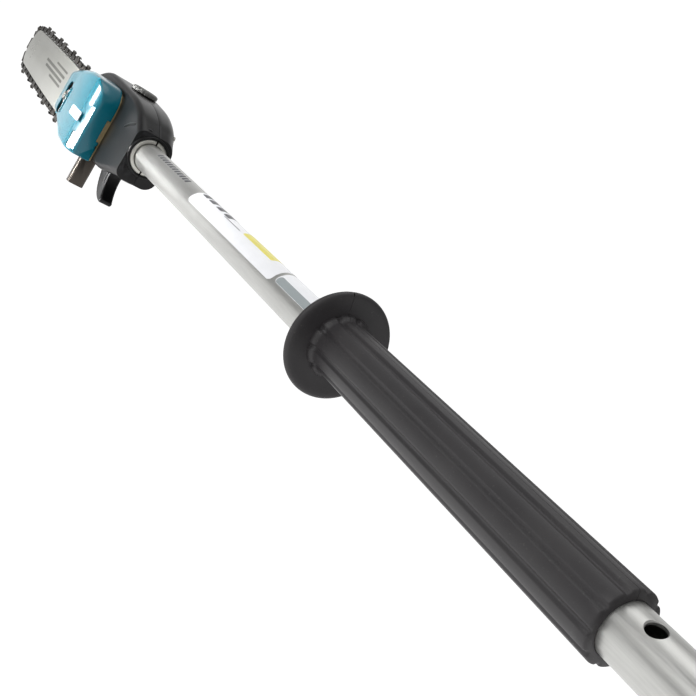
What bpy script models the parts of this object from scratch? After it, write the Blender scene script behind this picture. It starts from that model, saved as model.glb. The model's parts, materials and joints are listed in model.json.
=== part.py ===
"""Pole saw head on a fixed pole: a split-shaft pruning attachment, modelled in metres.

The origin is on the pole's axis at its drive end. +X runs along the pole to the
saw, +Z is up, and +Y is the side of the sprocket cover. The guide bar's plane is
parallel to XZ. The bar and its chain are modelled in a frame of their own, which
starts at the sprocket's centre and tilts the nose up.
"""
import math

import bmesh
import bpy
from mathutils import Matrix, Vector

# ---- clearances -------------------------------------------------------------
GAP = 0.0003             # between two pieces that touch on the real object
SLIDE_GAP = 0.0005       # beside a piece that moves past another
EPS = 0.002              # how far a cutter runs past the face that it opens

# ---- pole -------------------------------------------------------------------
PIPE_OD = 0.0254
PIPE_WALL = 0.0016
PIPE_LENGTH = 0.765
PIPE_SHORT_OF_COLLAR = 0.003  # the pipe stops this far inside the collar's far end
LOCK_HOLE_X = 0.0545     # from the near end; the power head's button enters here
LOCK_HOLE_DIAMETER = 0.0085
LOCK_HOLE_ANGLE = math.radians(56)    # from +Y towards +Z

# ---- grip -------------------------------------------------------------------
GRIP_START = 0.0695      # from the near end
GRIP_LENGTH = 0.247
GRIP_OD = 0.0350
GRIP_LOBES = 10
GRIP_LOBE_DEPTH = 0.0010
FLANGE_OD = 0.066
FLANGE_THICK = 0.0050
GRIP_SLIT = 0.0006
GRIP_SLIT_ANGLE = math.radians(72)

# ---- drive shaft and its bushes ---------------------------------------------
SHAFT_DIAMETER = 0.0063
SHAFT_SPIGOT_DIAMETER = 0.0038
SHAFT_SPIGOT_LENGTH = 0.016
BUSH_LENGTH = 0.030
BUSH_COUNT = 4
BUSH_FIRST_X = 0.090     # from the near end
BUSH_LAST_BEHIND_HEAD = 0.032

# ---- head: places along the pole --------------------------------------------
HEAD_X = 0.722           # rear face of the clamp collar
COLLAR_LENGTH = 0.046
COLLAR_WALL = 0.0039
COLLAR_OD = PIPE_OD + 2 * COLLAR_WALL
POLE_X = HEAD_X + COLLAR_LENGTH - PIPE_SHORT_OF_COLLAR - PIPE_LENGTH   # near end
OUTPUT_X = 0.836         # output shaft, sprocket and bevel gear
OUTPUT_Z = -0.005

# ---- bevel gears, output shaft, bearings ------------------------------------
BEARING_OD = 0.022
BEARING_WIDTH = 0.007
OUTPUT_DIAMETER = 0.008
PINION_TEETH = 12
GEAR_TEETH = 18
PINION_RADIUS = 0.0080
GEAR_RADIUS = 0.0135
SHANK_DIAMETER = 0.0074
GEAR_BACK_Y = -0.0135
GEAR_FACE_Y = -0.0088
OUTPUT_START_Y = -0.0175
OUTPUT_END_Y = 0.0335
CASE_RADIUS = 0.0205
CASE_WALL = 0.0032
CASE_RIGHT_Y = -0.0150
CASE_LEFT_Y = 0.0122
CASE_LID_THICK = 0.0040

# ---- planes across the head --------------------------------------------------
PAD_Y = 0.0200           # left face of the housing
PLATE_THICK = 0.0010
BAR_THICK = 0.0047
BAR_BOSS = 0.0024        # the plate's boss holds the bar off the plate by this
BAR_Y = PAD_Y + PLATE_THICK + BAR_BOSS + GAP + BAR_THICK / 2   # middle of bar and chain
WALL = 0.0024            # wall of the plastic shells

# ---- chain -------------------------------------------------------------------
DRIVE_LINKS = 44
RIVET_PITCH = 0.009525
SPROCKET_TEETH = 6
CHAIN_BELOW = 0.0031     # side plates below the rivet line
CHAIN_ABOVE = 0.0028     # side plates above the rivet line
CHAIN_WIDTH = 0.0044
CUTTER_WIDTH = 0.0064
CUTTER_TOP = 0.0060      # top of a cutter above the rivet line
CUTTER_LENGTH = 0.0125

# ---- bar ---------------------------------------------------------------------
RAIL_BELOW_RIVETS = 0.0036
NOSE_RADIUS = 0.0268     # rivet line round the nose
BAR_HALF = 0.0294        # rivet line above the bar's middle at its widest
BAR_WIDEST_X = 0.149     # from the sprocket's centre
TAIL_CIRCLE_X = 0.069    # where the chain comes down from the bar to the sprocket
TAIL_CIRCLE_RADIUS = 0.025
BAR_TAIL_X = 0.032
BAR_TILT = math.radians(1.6)
RAIL_GROOVE_WIDTH = 0.0014
RAIL_GROOVE_DEPTH = 0.0060
STUD_X = 0.068           # stud, in the bar's frame
STUD_DIAMETER = 0.008
BAR_SLOT_BEHIND = 0.008
BAR_SLOT_AHEAD = 0.026
ADJUST_HOLE_X = 0.050
ADJUST_HOLE_Z = -0.0125
ADJUST_HOLE_DIAMETER = 0.0060
ADJUST_TRAVEL = 0.004
NOSE_STAR_THICK = 0.0016
NOSE_STAR_TEETH = 8
NOSE_RIVET_DIAMETER = 0.0070

# ---- housing: one row for each section across the pole ------------------------
# x, right side y, bottom z, top z, right corner radius, left corner radius
HOUSING_SECTIONS = (
    (0.7225, -0.0185, -0.0280, 0.0205, 0.0120, 0.0080),
    (0.7330, -0.0195, -0.0290, 0.0260, 0.0120, 0.0070),
    (0.7480, -0.0215, -0.0310, 0.0325, 0.0115, 0.0060),
    (0.7750, -0.0230, -0.0355, 0.0385, 0.0110, 0.0050),
    (0.8100, -0.0240, -0.0360, 0.0410, 0.0110, 0.0045),
    (0.8620, -0.0240, -0.0360, 0.0425, 0.0110, 0.0040),
    (0.8840, -0.0220, -0.0350, 0.0410, 0.0110, 0.0040),
    (0.9020, -0.0120, -0.0320, 0.0360, 0.0080, 0.0040),
    (0.9180, -0.0020, -0.0270, 0.0280, 0.0060, 0.0030),
)
CORNER_STEPS = 4

# ---- sprocket cover -----------------------------------------------------------
# x, outer y, bottom z, top z, outer corner radius
COVER_SECTIONS = (
    (0.7965, 0.0360, -0.0372, 0.0150, 0.0045),
    (0.7975, 0.0372, -0.0378, 0.0212, 0.0045),
    (0.8000, 0.0385, -0.0380, 0.0263, 0.0045),
    (0.8060, 0.0412, -0.0380, 0.0320, 0.0045),
    (0.8165, 0.0450, -0.0380, 0.0350, 0.0045),
    (0.8230, 0.0458, -0.0380, 0.0354, 0.0048),
    (0.8440, 0.0455, -0.0375, 0.0356, 0.0060),
    (0.8640, 0.0435, -0.0350, 0.0345, 0.0080),
    (0.8860, 0.0415, -0.0315, 0.0325, 0.0090),
    (0.9100, 0.0400, -0.0280, 0.0285, 0.0090),
    (0.9280, 0.0388, -0.0245, 0.0240, 0.0080),
)
NOTCH_Z = (-0.0180, 0.0050)   # in the rear edge, round the bar plate's lip
NOTCH_DEPTH = 0.0030
COVER_EXIT_BACK = 0.0060       # the chain's way out, behind the tapered rows
COVER_POCKET_LENGTH = 0.022
COVER_POCKET_BOTTOM = -0.024
COVER_POCKET_TOP = 0.014
COVER_POCKET_FLOOR_Y = 0.0318
COVER_CLAMP_RADIUS = 0.0105

# ---- bar nut ------------------------------------------------------------------
NUT_ACROSS_FLATS = 0.013
NUT_HEIGHT = 0.0075
NUT_FLANGE_DIAMETER = 0.0165
NUT_FLANGE_THICK = 0.0018

# ---- oil ----------------------------------------------------------------------
CAP_X = 0.820
CAP_Y = -0.001
CAP_DIAMETER = 0.0265
CAP_HEIGHT = 0.0045
CAP_LIFT = 0.0006        # of the cap's flange over the housing
NECK_DIAMETER = 0.0200
NECK_WALL = 0.0016
TANK_X0 = 0.752
TANK_X1 = 0.868
TANK_BOTTOM_Z = 0.0215

# ---- hook and stop --------------------------------------------------------------
HOOK_X = 0.752
HOOK_Y0 = 0.0005
HOOK_Y1 = 0.0130
HOOK_WIDTH = 0.0300
STOP_X = 0.812
STOP_Y0 = 0.0080
STOP_Y1 = 0.0242
STOP_THICK = 0.0025
STOP_DEPTH = 0.0080
STOP_BOTTOM_Z = -0.0660
STOP_TAB_LENGTH = 0.0360

BAR_FRAME = (Matrix.Translation((OUTPUT_X, 0, OUTPUT_Z))
             @ Matrix.Rotation(-BAR_TILT, 4, 'Y'))
ALONG_X = Matrix.Rotation(math.radians(90), 4, 'Y')      # local +Z to world +X
ALONG_Y = Matrix.Rotation(math.radians(-90), 4, 'X')     # local +Z to world +Y

MATERIALS = {
    "satin_aluminium": ((0.70, 0.70, 0.69), 0.34, 1.0),
    "cast_aluminium": ((0.55, 0.55, 0.54), 0.45, 1.0),
    "grip_rubber": ((0.045, 0.043, 0.044), 0.55, 0.0),
    "housing_plastic": ((0.020, 0.021, 0.023), 0.45, 0.0),
    "cover_teal": ((0.045, 0.215, 0.270), 0.28, 0.0),
    "cap_plastic": ((0.085, 0.085, 0.083), 0.50, 0.0),
    "tank_plastic": ((0.050, 0.050, 0.050), 0.40, 0.0),
    "bar_steel": ((0.62, 0.61, 0.58), 0.38, 1.0),
    "chain_steel": ((0.30, 0.28, 0.26), 0.36, 1.0),
    "gear_steel": ((0.42, 0.42, 0.43), 0.32, 1.0),
    "zinc_steel": ((0.60, 0.60, 0.58), 0.30, 1.0),
    "plate_steel": ((0.55, 0.48, 0.36), 0.36, 1.0),
    "stop_steel": ((0.30, 0.27, 0.24), 0.42, 1.0),
    "bush_plastic": ((0.60, 0.58, 0.52), 0.50, 0.0),
    "seal_rubber": ((0.03, 0.03, 0.03), 0.60, 0.0),
}


# ---- making and placing ---------------------------------------------------------
def clear_scene():
    for old in list(bpy.data.objects):
        bpy.data.objects.remove(old, do_unlink=True)


def make_collection(name):
    collection = bpy.data.collections.new(name)
    bpy.context.scene.collection.children.link(collection)
    return collection


def make_material(name):
    colour, roughness, metallic = MATERIALS[name]
    material = bpy.data.materials.new(name)
    material.use_nodes = True
    shader = material.node_tree.nodes["Principled BSDF"]
    shader.inputs["Base Color"].default_value = (*colour, 1.0)
    shader.inputs["Roughness"].default_value = roughness
    shader.inputs["Metallic"].default_value = metallic
    material.diffuse_color = (*colour, 1.0)
    return material


def add_part(name, mesh, material, matrix=Matrix()):
    """Put a mesh into the parts' collection as a named sub-part."""
    obj = bpy.data.objects.new(name, mesh)
    obj.matrix_world = matrix
    PARTS.objects.link(obj)
    own = make_material(material)
    own.name = name + "_finish"
    mesh.materials.append(own)
    return obj


def add_cutter(mesh, matrix=Matrix()):
    obj = bpy.data.objects.new("cutter", mesh)
    obj.matrix_world = matrix
    obj.hide_render = True
    obj.display_type = 'WIRE'
    CUTTERS.objects.link(obj)
    return obj


def combine(obj, mesh, operation, matrix=Matrix()):
    """Cut a mesh from an object, or join one to it, with a Boolean."""
    cutter = add_cutter(mesh, matrix)
    boolean = obj.modifiers.new(operation.lower(), 'BOOLEAN')
    boolean.operation = operation
    boolean.solver = 'EXACT'
    boolean.object = cutter


def cut(obj, mesh, matrix=Matrix()):
    combine(obj, mesh, 'DIFFERENCE', matrix)


def join(obj, mesh, matrix=Matrix()):
    combine(obj, mesh, 'UNION', matrix)


def soften(obj, width, segments=2, angle=40):
    bevel = obj.modifiers.new("soft_edges", 'BEVEL')
    bevel.width = width
    bevel.segments = segments
    bevel.limit_method = 'ANGLE'
    bevel.angle_limit = math.radians(angle)
    bevel.harden_normals = False


def smooth(obj, angle=35):
    obj.data.shade_smooth()
    obj.data.set_sharp_from_angle(angle=math.radians(angle))


# ---- meshes ---------------------------------------------------------------------
def mesh_from(bm, name="shape"):
    bmesh.ops.recalc_face_normals(bm, faces=bm.faces)
    mesh = bpy.data.meshes.new(name)
    bm.to_mesh(mesh)
    bm.free()
    return mesh


def box(low, high):
    """An axis-aligned box between two corners."""
    bm = bmesh.new()
    size = Vector(high) - Vector(low)
    middle = (Vector(high) + Vector(low)) / 2
    matrix = Matrix.Translation(middle) @ Matrix.Diagonal((*size, 1))
    bmesh.ops.create_cube(bm, size=1, matrix=matrix)
    return mesh_from(bm)


def rod(radius, start, end, segments=32, end_radius=None):
    """A cylinder or cone along local +Z."""
    bm = bmesh.new()
    matrix = Matrix.Translation((0, 0, (start + end) / 2))
    top = radius if end_radius is None else end_radius
    bmesh.ops.create_cone(bm, cap_ends=True, segments=segments, radius1=radius,
                          radius2=top, depth=end - start, matrix=matrix)
    return mesh_from(bm)


def ring(inner, outer, start, end, segments=32):
    """A plain tube along local +Z, as a turned profile."""
    return turned([(outer, end), (outer, start), (inner, start), (inner, end)], segments)


def turned(profile, segments=32, closed=True):
    """Turn a profile of (radius, height) points, top to bottom on its outer side."""
    bm = bmesh.new()
    corners = [bm.verts.new((radius, 0, height)) for radius, height in profile]
    for first, second in zip(corners, corners[1:]):
        bm.edges.new((first, second))
    if closed:
        bm.edges.new((corners[-1], corners[0]))
    mesh = bpy.data.meshes.new("profile")
    bm.to_mesh(mesh)
    bm.free()
    holder = add_cutter(mesh)
    screw = holder.modifiers.new("turn", 'SCREW')
    screw.axis = 'Z'
    screw.angle = math.tau
    screw.steps = segments
    screw.render_steps = segments
    screw.use_merge_vertices = True
    screw.merge_threshold = 0.00001
    return baked(holder)


def baked(holder, flat_angle=0.0):
    """The evaluated mesh of a helper object, which is then removed."""
    graph = bpy.context.evaluated_depsgraph_get()
    mesh = bpy.data.meshes.new_from_object(holder.evaluated_get(graph))
    bpy.data.objects.remove(holder, do_unlink=True)
    bm = bmesh.new()
    bm.from_mesh(mesh)
    bmesh.ops.remove_doubles(bm, verts=bm.verts, dist=0.00001)
    if flat_angle:
        bmesh.ops.dissolve_limit(bm, angle_limit=flat_angle, verts=bm.verts, edges=bm.edges)
    return mesh_from(bm)


def plate(outline, low, high):
    """A flat outline of (x, z) points, extruded from y = low to y = high."""
    curve = bpy.data.curves.new("outline", 'CURVE')
    curve.dimensions = '2D'
    curve.fill_mode = 'BOTH'
    curve.extrude = (high - low) / 2
    spline = curve.splines.new('POLY')
    spline.points.add(len(outline) - 1)
    for point, (x, z) in zip(spline.points, outline):
        point.co = (x, z, 0, 1)
    spline.use_cyclic_u = True
    holder = bpy.data.objects.new("outline", curve)
    CUTTERS.objects.link(holder)
    mesh = baked(holder, flat_angle=0.0005)
    turn = Matrix.Rotation(math.radians(90), 4, 'X')
    mesh.transform(Matrix.Translation((0, (low + high) / 2, 0)) @ turn)
    mesh.update()
    return mesh


def loft(rings):
    """A closed solid through rings with the same number of points."""
    bm = bmesh.new()
    loops = [[bm.verts.new(point) for point in points] for points in rings]
    for near, far in zip(loops, loops[1:]):
        for i in range(len(near)):
            j = (i + 1) % len(near)
            bm.faces.new((near[i], near[j], far[j], far[i]))
    bm.faces.new(loops[0])
    bm.faces.new(loops[-1])
    return mesh_from(bm)


def arc(centre, radius, start, end, steps):
    """Points on an arc in a plane, angles in radians."""
    points = []
    for i in range(steps + 1):
        angle = start + (end - start) * i / steps
        points.append((centre[0] + radius * math.cos(angle),
                       centre[1] + radius * math.sin(angle)))
    return points


def rounded_slot(x0, x1, z, radius, steps=8):
    """The outline of a slot along X with round ends."""
    right = arc((x1, z), radius, -math.pi / 2, math.pi / 2, steps)
    left = arc((x0, z), radius, math.pi / 2, math.pi * 1.5, steps)
    return right + left


def rounded_box(x0, x1, z0, z1, radius, steps=4):
    """The outline of a rectangle with round corners."""
    quarter = math.pi / 2
    return (arc((x1 - radius, z0 + radius), radius, -quarter, 0, steps)
            + arc((x1 - radius, z1 - radius), radius, 0, quarter, steps)
            + arc((x0 + radius, z1 - radius), radius, quarter, math.pi, steps)
            + arc((x0 + radius, z0 + radius), radius, math.pi, math.pi * 1.5, steps))


def bezier(start, control, end, steps=6):
    """Points on a quadratic curve, without its first point."""
    points = []
    for i in range(1, steps + 1):
        t = i / steps
        points.append(tuple((1 - t) ** 2 * a + 2 * t * (1 - t) * b + t * t * c
                            for a, b, c in zip(start, control, end)))
    return points


# ---- chain loop: four kinds of arc, the same centres at every offset ---------------
SPROCKET_RADIUS = RIVET_PITCH / (2 * math.sin(math.pi / (2 * SPROCKET_TEETH)))
LOOP_LENGTH = DRIVE_LINKS * 2 * RIVET_PITCH


def bow_radius(nose_x):
    """Radius of the bar's long edge, which meets the nose circle smoothly."""
    run = nose_x - BAR_WIDEST_X
    rise = BAR_HALF - NOSE_RADIUS
    return (run ** 2 + BAR_HALF ** 2 - NOSE_RADIUS ** 2) / (2 * rise)


def loop_arcs(nose_x):
    """Centre, radius and angles of each arc of the upper half, from the nose back."""
    bow = bow_radius(nose_x)
    bow_centre = (BAR_WIDEST_X, BAR_HALF - bow)
    tail_run = TAIL_CIRCLE_X - BAR_WIDEST_X
    tail_z = bow_centre[1] + math.sqrt((bow - TAIL_CIRCLE_RADIUS) ** 2 - tail_run ** 2)
    tail_centre = (TAIL_CIRCLE_X, tail_z)
    nose_turn = math.atan2(-bow_centre[1], nose_x - BAR_WIDEST_X)
    tail_turn = math.atan2(tail_z - bow_centre[1], tail_run)
    reach = math.hypot(*tail_centre)
    lean = math.acos((SPROCKET_RADIUS - TAIL_CIRCLE_RADIUS) / reach)
    leave = math.atan2(tail_z, TAIL_CIRCLE_X) + lean
    return (((nose_x, 0), NOSE_RADIUS, 0, nose_turn),
            (bow_centre, bow, nose_turn, tail_turn),
            (tail_centre, TAIL_CIRCLE_RADIUS, tail_turn, leave),
            ((0, 0), SPROCKET_RADIUS, leave, math.pi))


def loop_length(nose_x):
    arcs = loop_arcs(nose_x)
    tail_centre = arcs[2][0]
    straight = math.sqrt(math.hypot(*tail_centre) ** 2
                         - (SPROCKET_RADIUS - TAIL_CIRCLE_RADIUS) ** 2)
    return 2 * (straight + sum(radius * (end - start) for _, radius, start, end in arcs))


def solve_nose_x():
    """The nose's distance from the sprocket at which the chain is just tight."""
    low, high = LOOP_LENGTH * 0.3, LOOP_LENGTH * 0.5
    for _ in range(60):
        middle = (low + high) / 2
        if loop_length(middle) < LOOP_LENGTH:
            low = middle
        else:
            high = middle
    return low


NOSE_X = solve_nose_x()


def loop_outline(offset, steps=(10, 8, 2, 7)):
    """The loop's closed outline at an offset from the rivet line, in the bar's frame."""
    upper = []
    for (centre, radius, start, end), count in zip(loop_arcs(NOSE_X), steps):
        upper += arc(centre, radius + offset, start, end, count)
    cleaned = [upper[0]]
    for point in upper[1:]:
        if math.dist(point, cleaned[-1]) > 1e-6:
            cleaned.append(point)
    lower = [(x, -z) for x, z in reversed(cleaned[1:-1])]
    return cleaned + lower


def loop_place(distance):
    """Point and heading on the rivet line, at a distance from the nose's tip."""
    outline = loop_outline(0, (40, 40, 8, 30))
    outline.append(outline[0])
    left = distance
    for first, second in zip(outline, outline[1:]):
        step = math.dist(first, second)
        if left <= step:
            share = left / step
            point = [a + (b - a) * share for a, b in zip(first, second)]
            return point, math.atan2(second[1] - first[1], second[0] - first[0])
        left -= step
    return list(outline[0]), math.pi / 2


def band(outer, inner, low, high):
    """A closed band between two outlines with the same number of points."""
    bm = bmesh.new()
    walls = []
    for outline, y in ((outer, low), (outer, high), (inner, high), (inner, low)):
        walls.append([bm.verts.new((x, y, z)) for x, z in outline])
    for near, far in zip(walls, walls[1:] + walls[:1]):
        for i in range(len(near)):
            j = (i + 1) % len(near)
            bm.faces.new((near[i], near[j], far[j], far[i]))
    return mesh_from(bm)


def merged(meshes, matrices):
    """Several closed meshes in one, for a single Boolean."""
    bm = bmesh.new()
    for mesh, matrix in zip(meshes, matrices):
        piece = mesh.copy()
        piece.transform(matrix)
        bm.from_mesh(piece)
    return mesh_from(bm)


# ---- pole, grip and drive shaft -------------------------------------------------------
def around_pole(angle, x=0.0):
    """A matrix that takes local +Z outwards from the pole at an angle from +Y."""
    return Matrix.Translation((x, 0, 0)) @ Matrix.Rotation(angle - math.pi / 2, 4, 'X')


def make_pipe():
    outer = PIPE_OD / 2
    tube = ring(outer - PIPE_WALL, outer, POLE_X, POLE_X + PIPE_LENGTH, 40)
    obj = add_part("main_pipe", tube, "satin_aluminium", ALONG_X)
    hole = rod(LOCK_HOLE_DIAMETER / 2, outer - PIPE_WALL - EPS, outer + EPS, 24)
    cut(obj, hole, around_pole(LOCK_HOLE_ANGLE, POLE_X + LOCK_HOLE_X))
    screw_hole = rod(LOCATING_SCREW_DIAMETER / 2 + GAP, outer - PIPE_WALL - EPS,
                     outer + EPS, 16)
    cut(obj, screw_hole, around_pole(math.pi / 2, LOCATING_SCREW_X))
    smooth(obj)


def grip_ring(x, lobe_depth, radius=GRIP_OD / 2, steps=60):
    """One fluted section of the grip."""
    points = []
    for i in range(steps):
        angle = math.tau * i / steps
        flute = lobe_depth * (abs(math.cos(GRIP_LOBES * angle / 2)) - 1)
        r = radius + flute
        points.append((x, r * math.cos(angle), r * math.sin(angle)))
    return points


def make_grip():
    start = POLE_X + GRIP_START
    end = start + GRIP_LENGTH
    rings = [grip_ring(start, GRIP_LOBE_DEPTH, GRIP_OD / 2 - 0.0008),
             grip_ring(start + 0.0010, GRIP_LOBE_DEPTH),
             grip_ring(end - 0.012, GRIP_LOBE_DEPTH),
             grip_ring(end - 0.004, GRIP_LOBE_DEPTH, GRIP_OD / 2 + 0.0012),
             grip_ring(end + FLANGE_THICK / 2, GRIP_LOBE_DEPTH, GRIP_OD / 2 + 0.0012)]
    obj = add_part("hand_grip", loft(rings), "grip_rubber")
    radius = FLANGE_OD / 2
    flange = add_cutter(rod(radius, end, end + FLANGE_THICK, 48))
    soften(flange, 0.0012, 2, 60)
    join(obj, baked(flange), ALONG_X)
    bore = rod(PIPE_OD / 2 + GAP, start - EPS, end + FLANGE_THICK + EPS, 36)
    cut(obj, bore, ALONG_X)
    slit = box((start - EPS, -GRIP_SLIT / 2, PIPE_OD / 2 - EPS),
               (end + FLANGE_THICK + EPS, GRIP_SLIT / 2, radius + EPS))
    cut(obj, slit, around_pole(GRIP_SLIT_ANGLE))
    smooth(obj, 50)


def make_drive_shaft():
    radius = SHAFT_DIAMETER / 2
    spigot = SHAFT_SPIGOT_DIAMETER / 2
    end = SHAFT_END_X
    profile = [(0, end + SHAFT_SPIGOT_LENGTH), (spigot, end + SHAFT_SPIGOT_LENGTH),
               (spigot, end), (radius, end), (radius, POLE_X), (0, POLE_X)]
    obj = add_part("drive_shaft", turned(profile, 20, closed=False), "gear_steel", ALONG_X)
    smooth(obj)
    outer = PIPE_OD / 2 - PIPE_WALL - GAP
    inner = radius + GAP
    first = POLE_X + BUSH_FIRST_X
    pitch = (HEAD_X - BUSH_LAST_BEHIND_HEAD - first) / (BUSH_COUNT - 1)
    waist = 0.0030
    for i in range(BUSH_COUNT):
        low = first + pitch * i
        high = low + BUSH_LENGTH
        profile = [(outer, high), (outer, high - 0.008), (outer - waist, high - 0.011),
                   (outer - waist, low + 0.011), (outer, low + 0.008), (outer, low),
                   (inner, low), (inner, high)]
        bush = add_part(f"shaft_bush_{i + 1}", turned(profile, 16), "bush_plastic", ALONG_X)
        smooth(bush)


# ---- gear case, gears and bearings --------------------------------------------------------
LOCATING_SCREW_X = HEAD_X + COLLAR_LENGTH - 0.012
LOCATING_SCREW_DIAMETER = 0.0050
SHAFT_END_X = HEAD_X + COLLAR_LENGTH
BEARING_STEP = 0.0110
PINION_BEARING_X = HEAD_X + COLLAR_LENGTH + 0.0005
OUTPUT_BEARING_OD = 0.016
OUTPUT_BEARING_WIDTH = 0.005
LEFT_BEARING_Y = 0.0068
RIGHT_BEARING_Y = CASE_RIGHT_Y + 0.0010 - OUTPUT_BEARING_WIDTH
LUG_HALF_WIDTH = 0.0085
LUG_BOTTOM_Z = -0.0250
LUG_START = 0.0036        # behind the collar's rear face
CLAMP_BOLT_Z = -0.0205
CLAMP_BOLT_DIAMETER = 0.0050
CLAMP_BOLTS_X = (HEAD_X + 0.0085, HEAD_X + 0.0205)
OUTPUT_AXIS = Matrix.Translation((OUTPUT_X, 0, OUTPUT_Z)) @ ALONG_Y


def make_gear_case():
    neck_radius = COLLAR_OD / 2
    end_of_bearings = PINION_BEARING_X + BEARING_STEP + BEARING_WIDTH + GAP
    obj = add_part("gear_case", rod(neck_radius, HEAD_X, OUTPUT_X, 32), "cast_aluminium",
                   ALONG_X)
    rear = OUTPUT_X - CASE_RADIUS - 0.0005
    cut(obj, box((rear, -0.03, -0.03), (OUTPUT_X + EPS, CASE_RIGHT_Y, 0.03)))
    cut(obj, box((rear, CASE_LEFT_Y, -0.03), (OUTPUT_X + EPS, 0.03, 0.03)))
    join(obj, rod(CASE_RADIUS, CASE_RIGHT_Y, CASE_LEFT_Y, 28), OUTPUT_AXIS)
    join(obj, box((HEAD_X + LUG_START, -LUG_HALF_WIDTH, LUG_BOTTOM_Z),
                  (HEAD_X + 0.027, LUG_HALF_WIDTH, -neck_radius / 2)))
    cavity = CASE_RADIUS - CASE_WALL
    cut(obj, rod(cavity, CASE_RIGHT_Y - EPS, LEFT_BEARING_Y - GAP, 28), OUTPUT_AXIS)
    cut(obj, rod(OUTPUT_BEARING_OD / 2 + GAP, LEFT_BEARING_Y - EPS, CASE_LEFT_Y + EPS, 24),
        OUTPUT_AXIS)
    cut(obj, rod(PIPE_OD / 2 + GAP, HEAD_X - EPS, SHAFT_END_X, 32), ALONG_X)
    cut(obj, rod(BEARING_OD / 2 + GAP, SHAFT_END_X - EPS, end_of_bearings, 24), ALONG_X)
    cut(obj, rod(PINION_RADIUS + 0.0015, end_of_bearings - EPS, OUTPUT_X, 24), ALONG_X)
    slit = 0.0008
    cut(obj, box((HEAD_X - EPS, -slit, -0.04), (HEAD_X + 0.030, slit, 0.04)))
    for x in CLAMP_BOLTS_X:
        hole = rod(CLAMP_BOLT_DIAMETER / 2 + GAP, -0.02, 0.02, 16)
        cut(obj, hole, Matrix.Translation((x, 0, CLAMP_BOLT_Z)) @ ALONG_Y)
    hole = rod(LOCATING_SCREW_DIAMETER / 2 + GAP, PIPE_OD / 2 - EPS, 0.03, 16)
    cut(obj, hole, around_pole(math.pi / 2, LOCATING_SCREW_X))
    smooth(obj)


def make_case_lid():
    outer_y = CASE_RIGHT_Y - GAP - CASE_LID_THICK
    boss = CASE_RADIUS - CASE_WALL - 2 * GAP
    profile = [(CASE_RADIUS, CASE_RIGHT_Y - GAP), (CASE_RADIUS, outer_y),
               (OUTPUT_BEARING_OD / 2 + GAP, outer_y),
               (OUTPUT_BEARING_OD / 2 + GAP, CASE_RIGHT_Y + 0.0010),
               (boss, CASE_RIGHT_Y + 0.0010), (boss, CASE_RIGHT_Y - GAP)]
    obj = add_part("gear_case_lid", turned(profile, 28), "cast_aluminium", OUTPUT_AXIS)
    smooth(obj)


def make_bearings():
    bearings = [("pinion_bearing_rear", PINION_BEARING_X, ALONG_X, BEARING_OD,
                 BEARING_WIDTH, SHANK_DIAMETER),
                ("pinion_bearing_front", PINION_BEARING_X + BEARING_STEP, ALONG_X,
                 BEARING_OD, BEARING_WIDTH, SHANK_DIAMETER),
                ("output_bearing_left", LEFT_BEARING_Y, OUTPUT_AXIS, OUTPUT_BEARING_OD,
                 OUTPUT_BEARING_WIDTH, OUTPUT_DIAMETER),
                ("output_bearing_right", RIGHT_BEARING_Y, OUTPUT_AXIS, OUTPUT_BEARING_OD,
                 OUTPUT_BEARING_WIDTH, OUTPUT_DIAMETER)]
    for name, start, matrix, outer, width, bore in bearings:
        tube = ring(bore / 2 + GAP, outer / 2, start, start + width, 20)
        smooth(add_part(name, tube, "gear_steel", matrix))


def toothed_cone(teeth, big, small, depth, start, end):
    """A bevel gear: a toothed frustum along local +Z, big at its start."""
    rings = []
    for z, radius, root in ((start, big, big - depth), (end, small, small - depth / 2)):
        points = []
        for i in range(teeth * 4):
            angle = math.tau * (i + 0.5) / (teeth * 4)
            r = radius if i % 4 in (0, 1) else root
            points.append((r * math.cos(angle), r * math.sin(angle), z))
        rings.append(points)
    return loft(rings)


def make_gears():
    pinion_big_x = OUTPUT_X - GEAR_RADIUS
    pinion_small_x = OUTPUT_X - GEAR_RADIUS / 2
    shank = SHANK_DIAMETER / 2
    socket = SHAFT_SPIGOT_DIAMETER / 2 + GAP
    teeth = toothed_cone(PINION_TEETH, PINION_RADIUS, PINION_RADIUS / 2, 0.0016,
                         pinion_big_x, pinion_small_x)
    obj = add_part("bevel_pinion", teeth, "gear_steel", ALONG_X)
    shank_start = SHAFT_END_X + GAP
    join(obj, rod(shank, shank_start, pinion_big_x + 0.001, 24), ALONG_X)
    join(obj, rod(PINION_RADIUS - 0.0020, pinion_big_x - 0.004, pinion_big_x + 0.001, 24),
         ALONG_X)
    cut(obj, rod(socket, shank_start - EPS, SHAFT_END_X + SHAFT_SPIGOT_LENGTH + GAP, 16),
        ALONG_X)
    smooth(obj, 30)

    turn = OUTPUT_AXIS @ Matrix.Rotation(math.pi / GEAR_TEETH, 4, 'Z')
    teeth = toothed_cone(GEAR_TEETH, GEAR_RADIUS, GEAR_RADIUS * 0.55, 0.0018,
                         GEAR_FACE_Y, GEAR_FACE_Y + 0.0038)
    gear = add_part("bevel_gear", teeth, "gear_steel", turn)
    join(gear, rod(GEAR_RADIUS - 0.0012, GEAR_BACK_Y, GEAR_FACE_Y + 0.0005, 36), turn)
    cut(gear, rod(OUTPUT_DIAMETER / 2 + GAP, GEAR_BACK_Y - EPS, GEAR_FACE_Y + 0.010, 24),
        turn)
    smooth(gear, 30)

    shaft = rod(OUTPUT_DIAMETER / 2, OUTPUT_START_Y, OUTPUT_END_Y, 24)
    obj = add_part("output_shaft", shaft, "gear_steel", OUTPUT_AXIS)
    smooth(obj)


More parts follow.
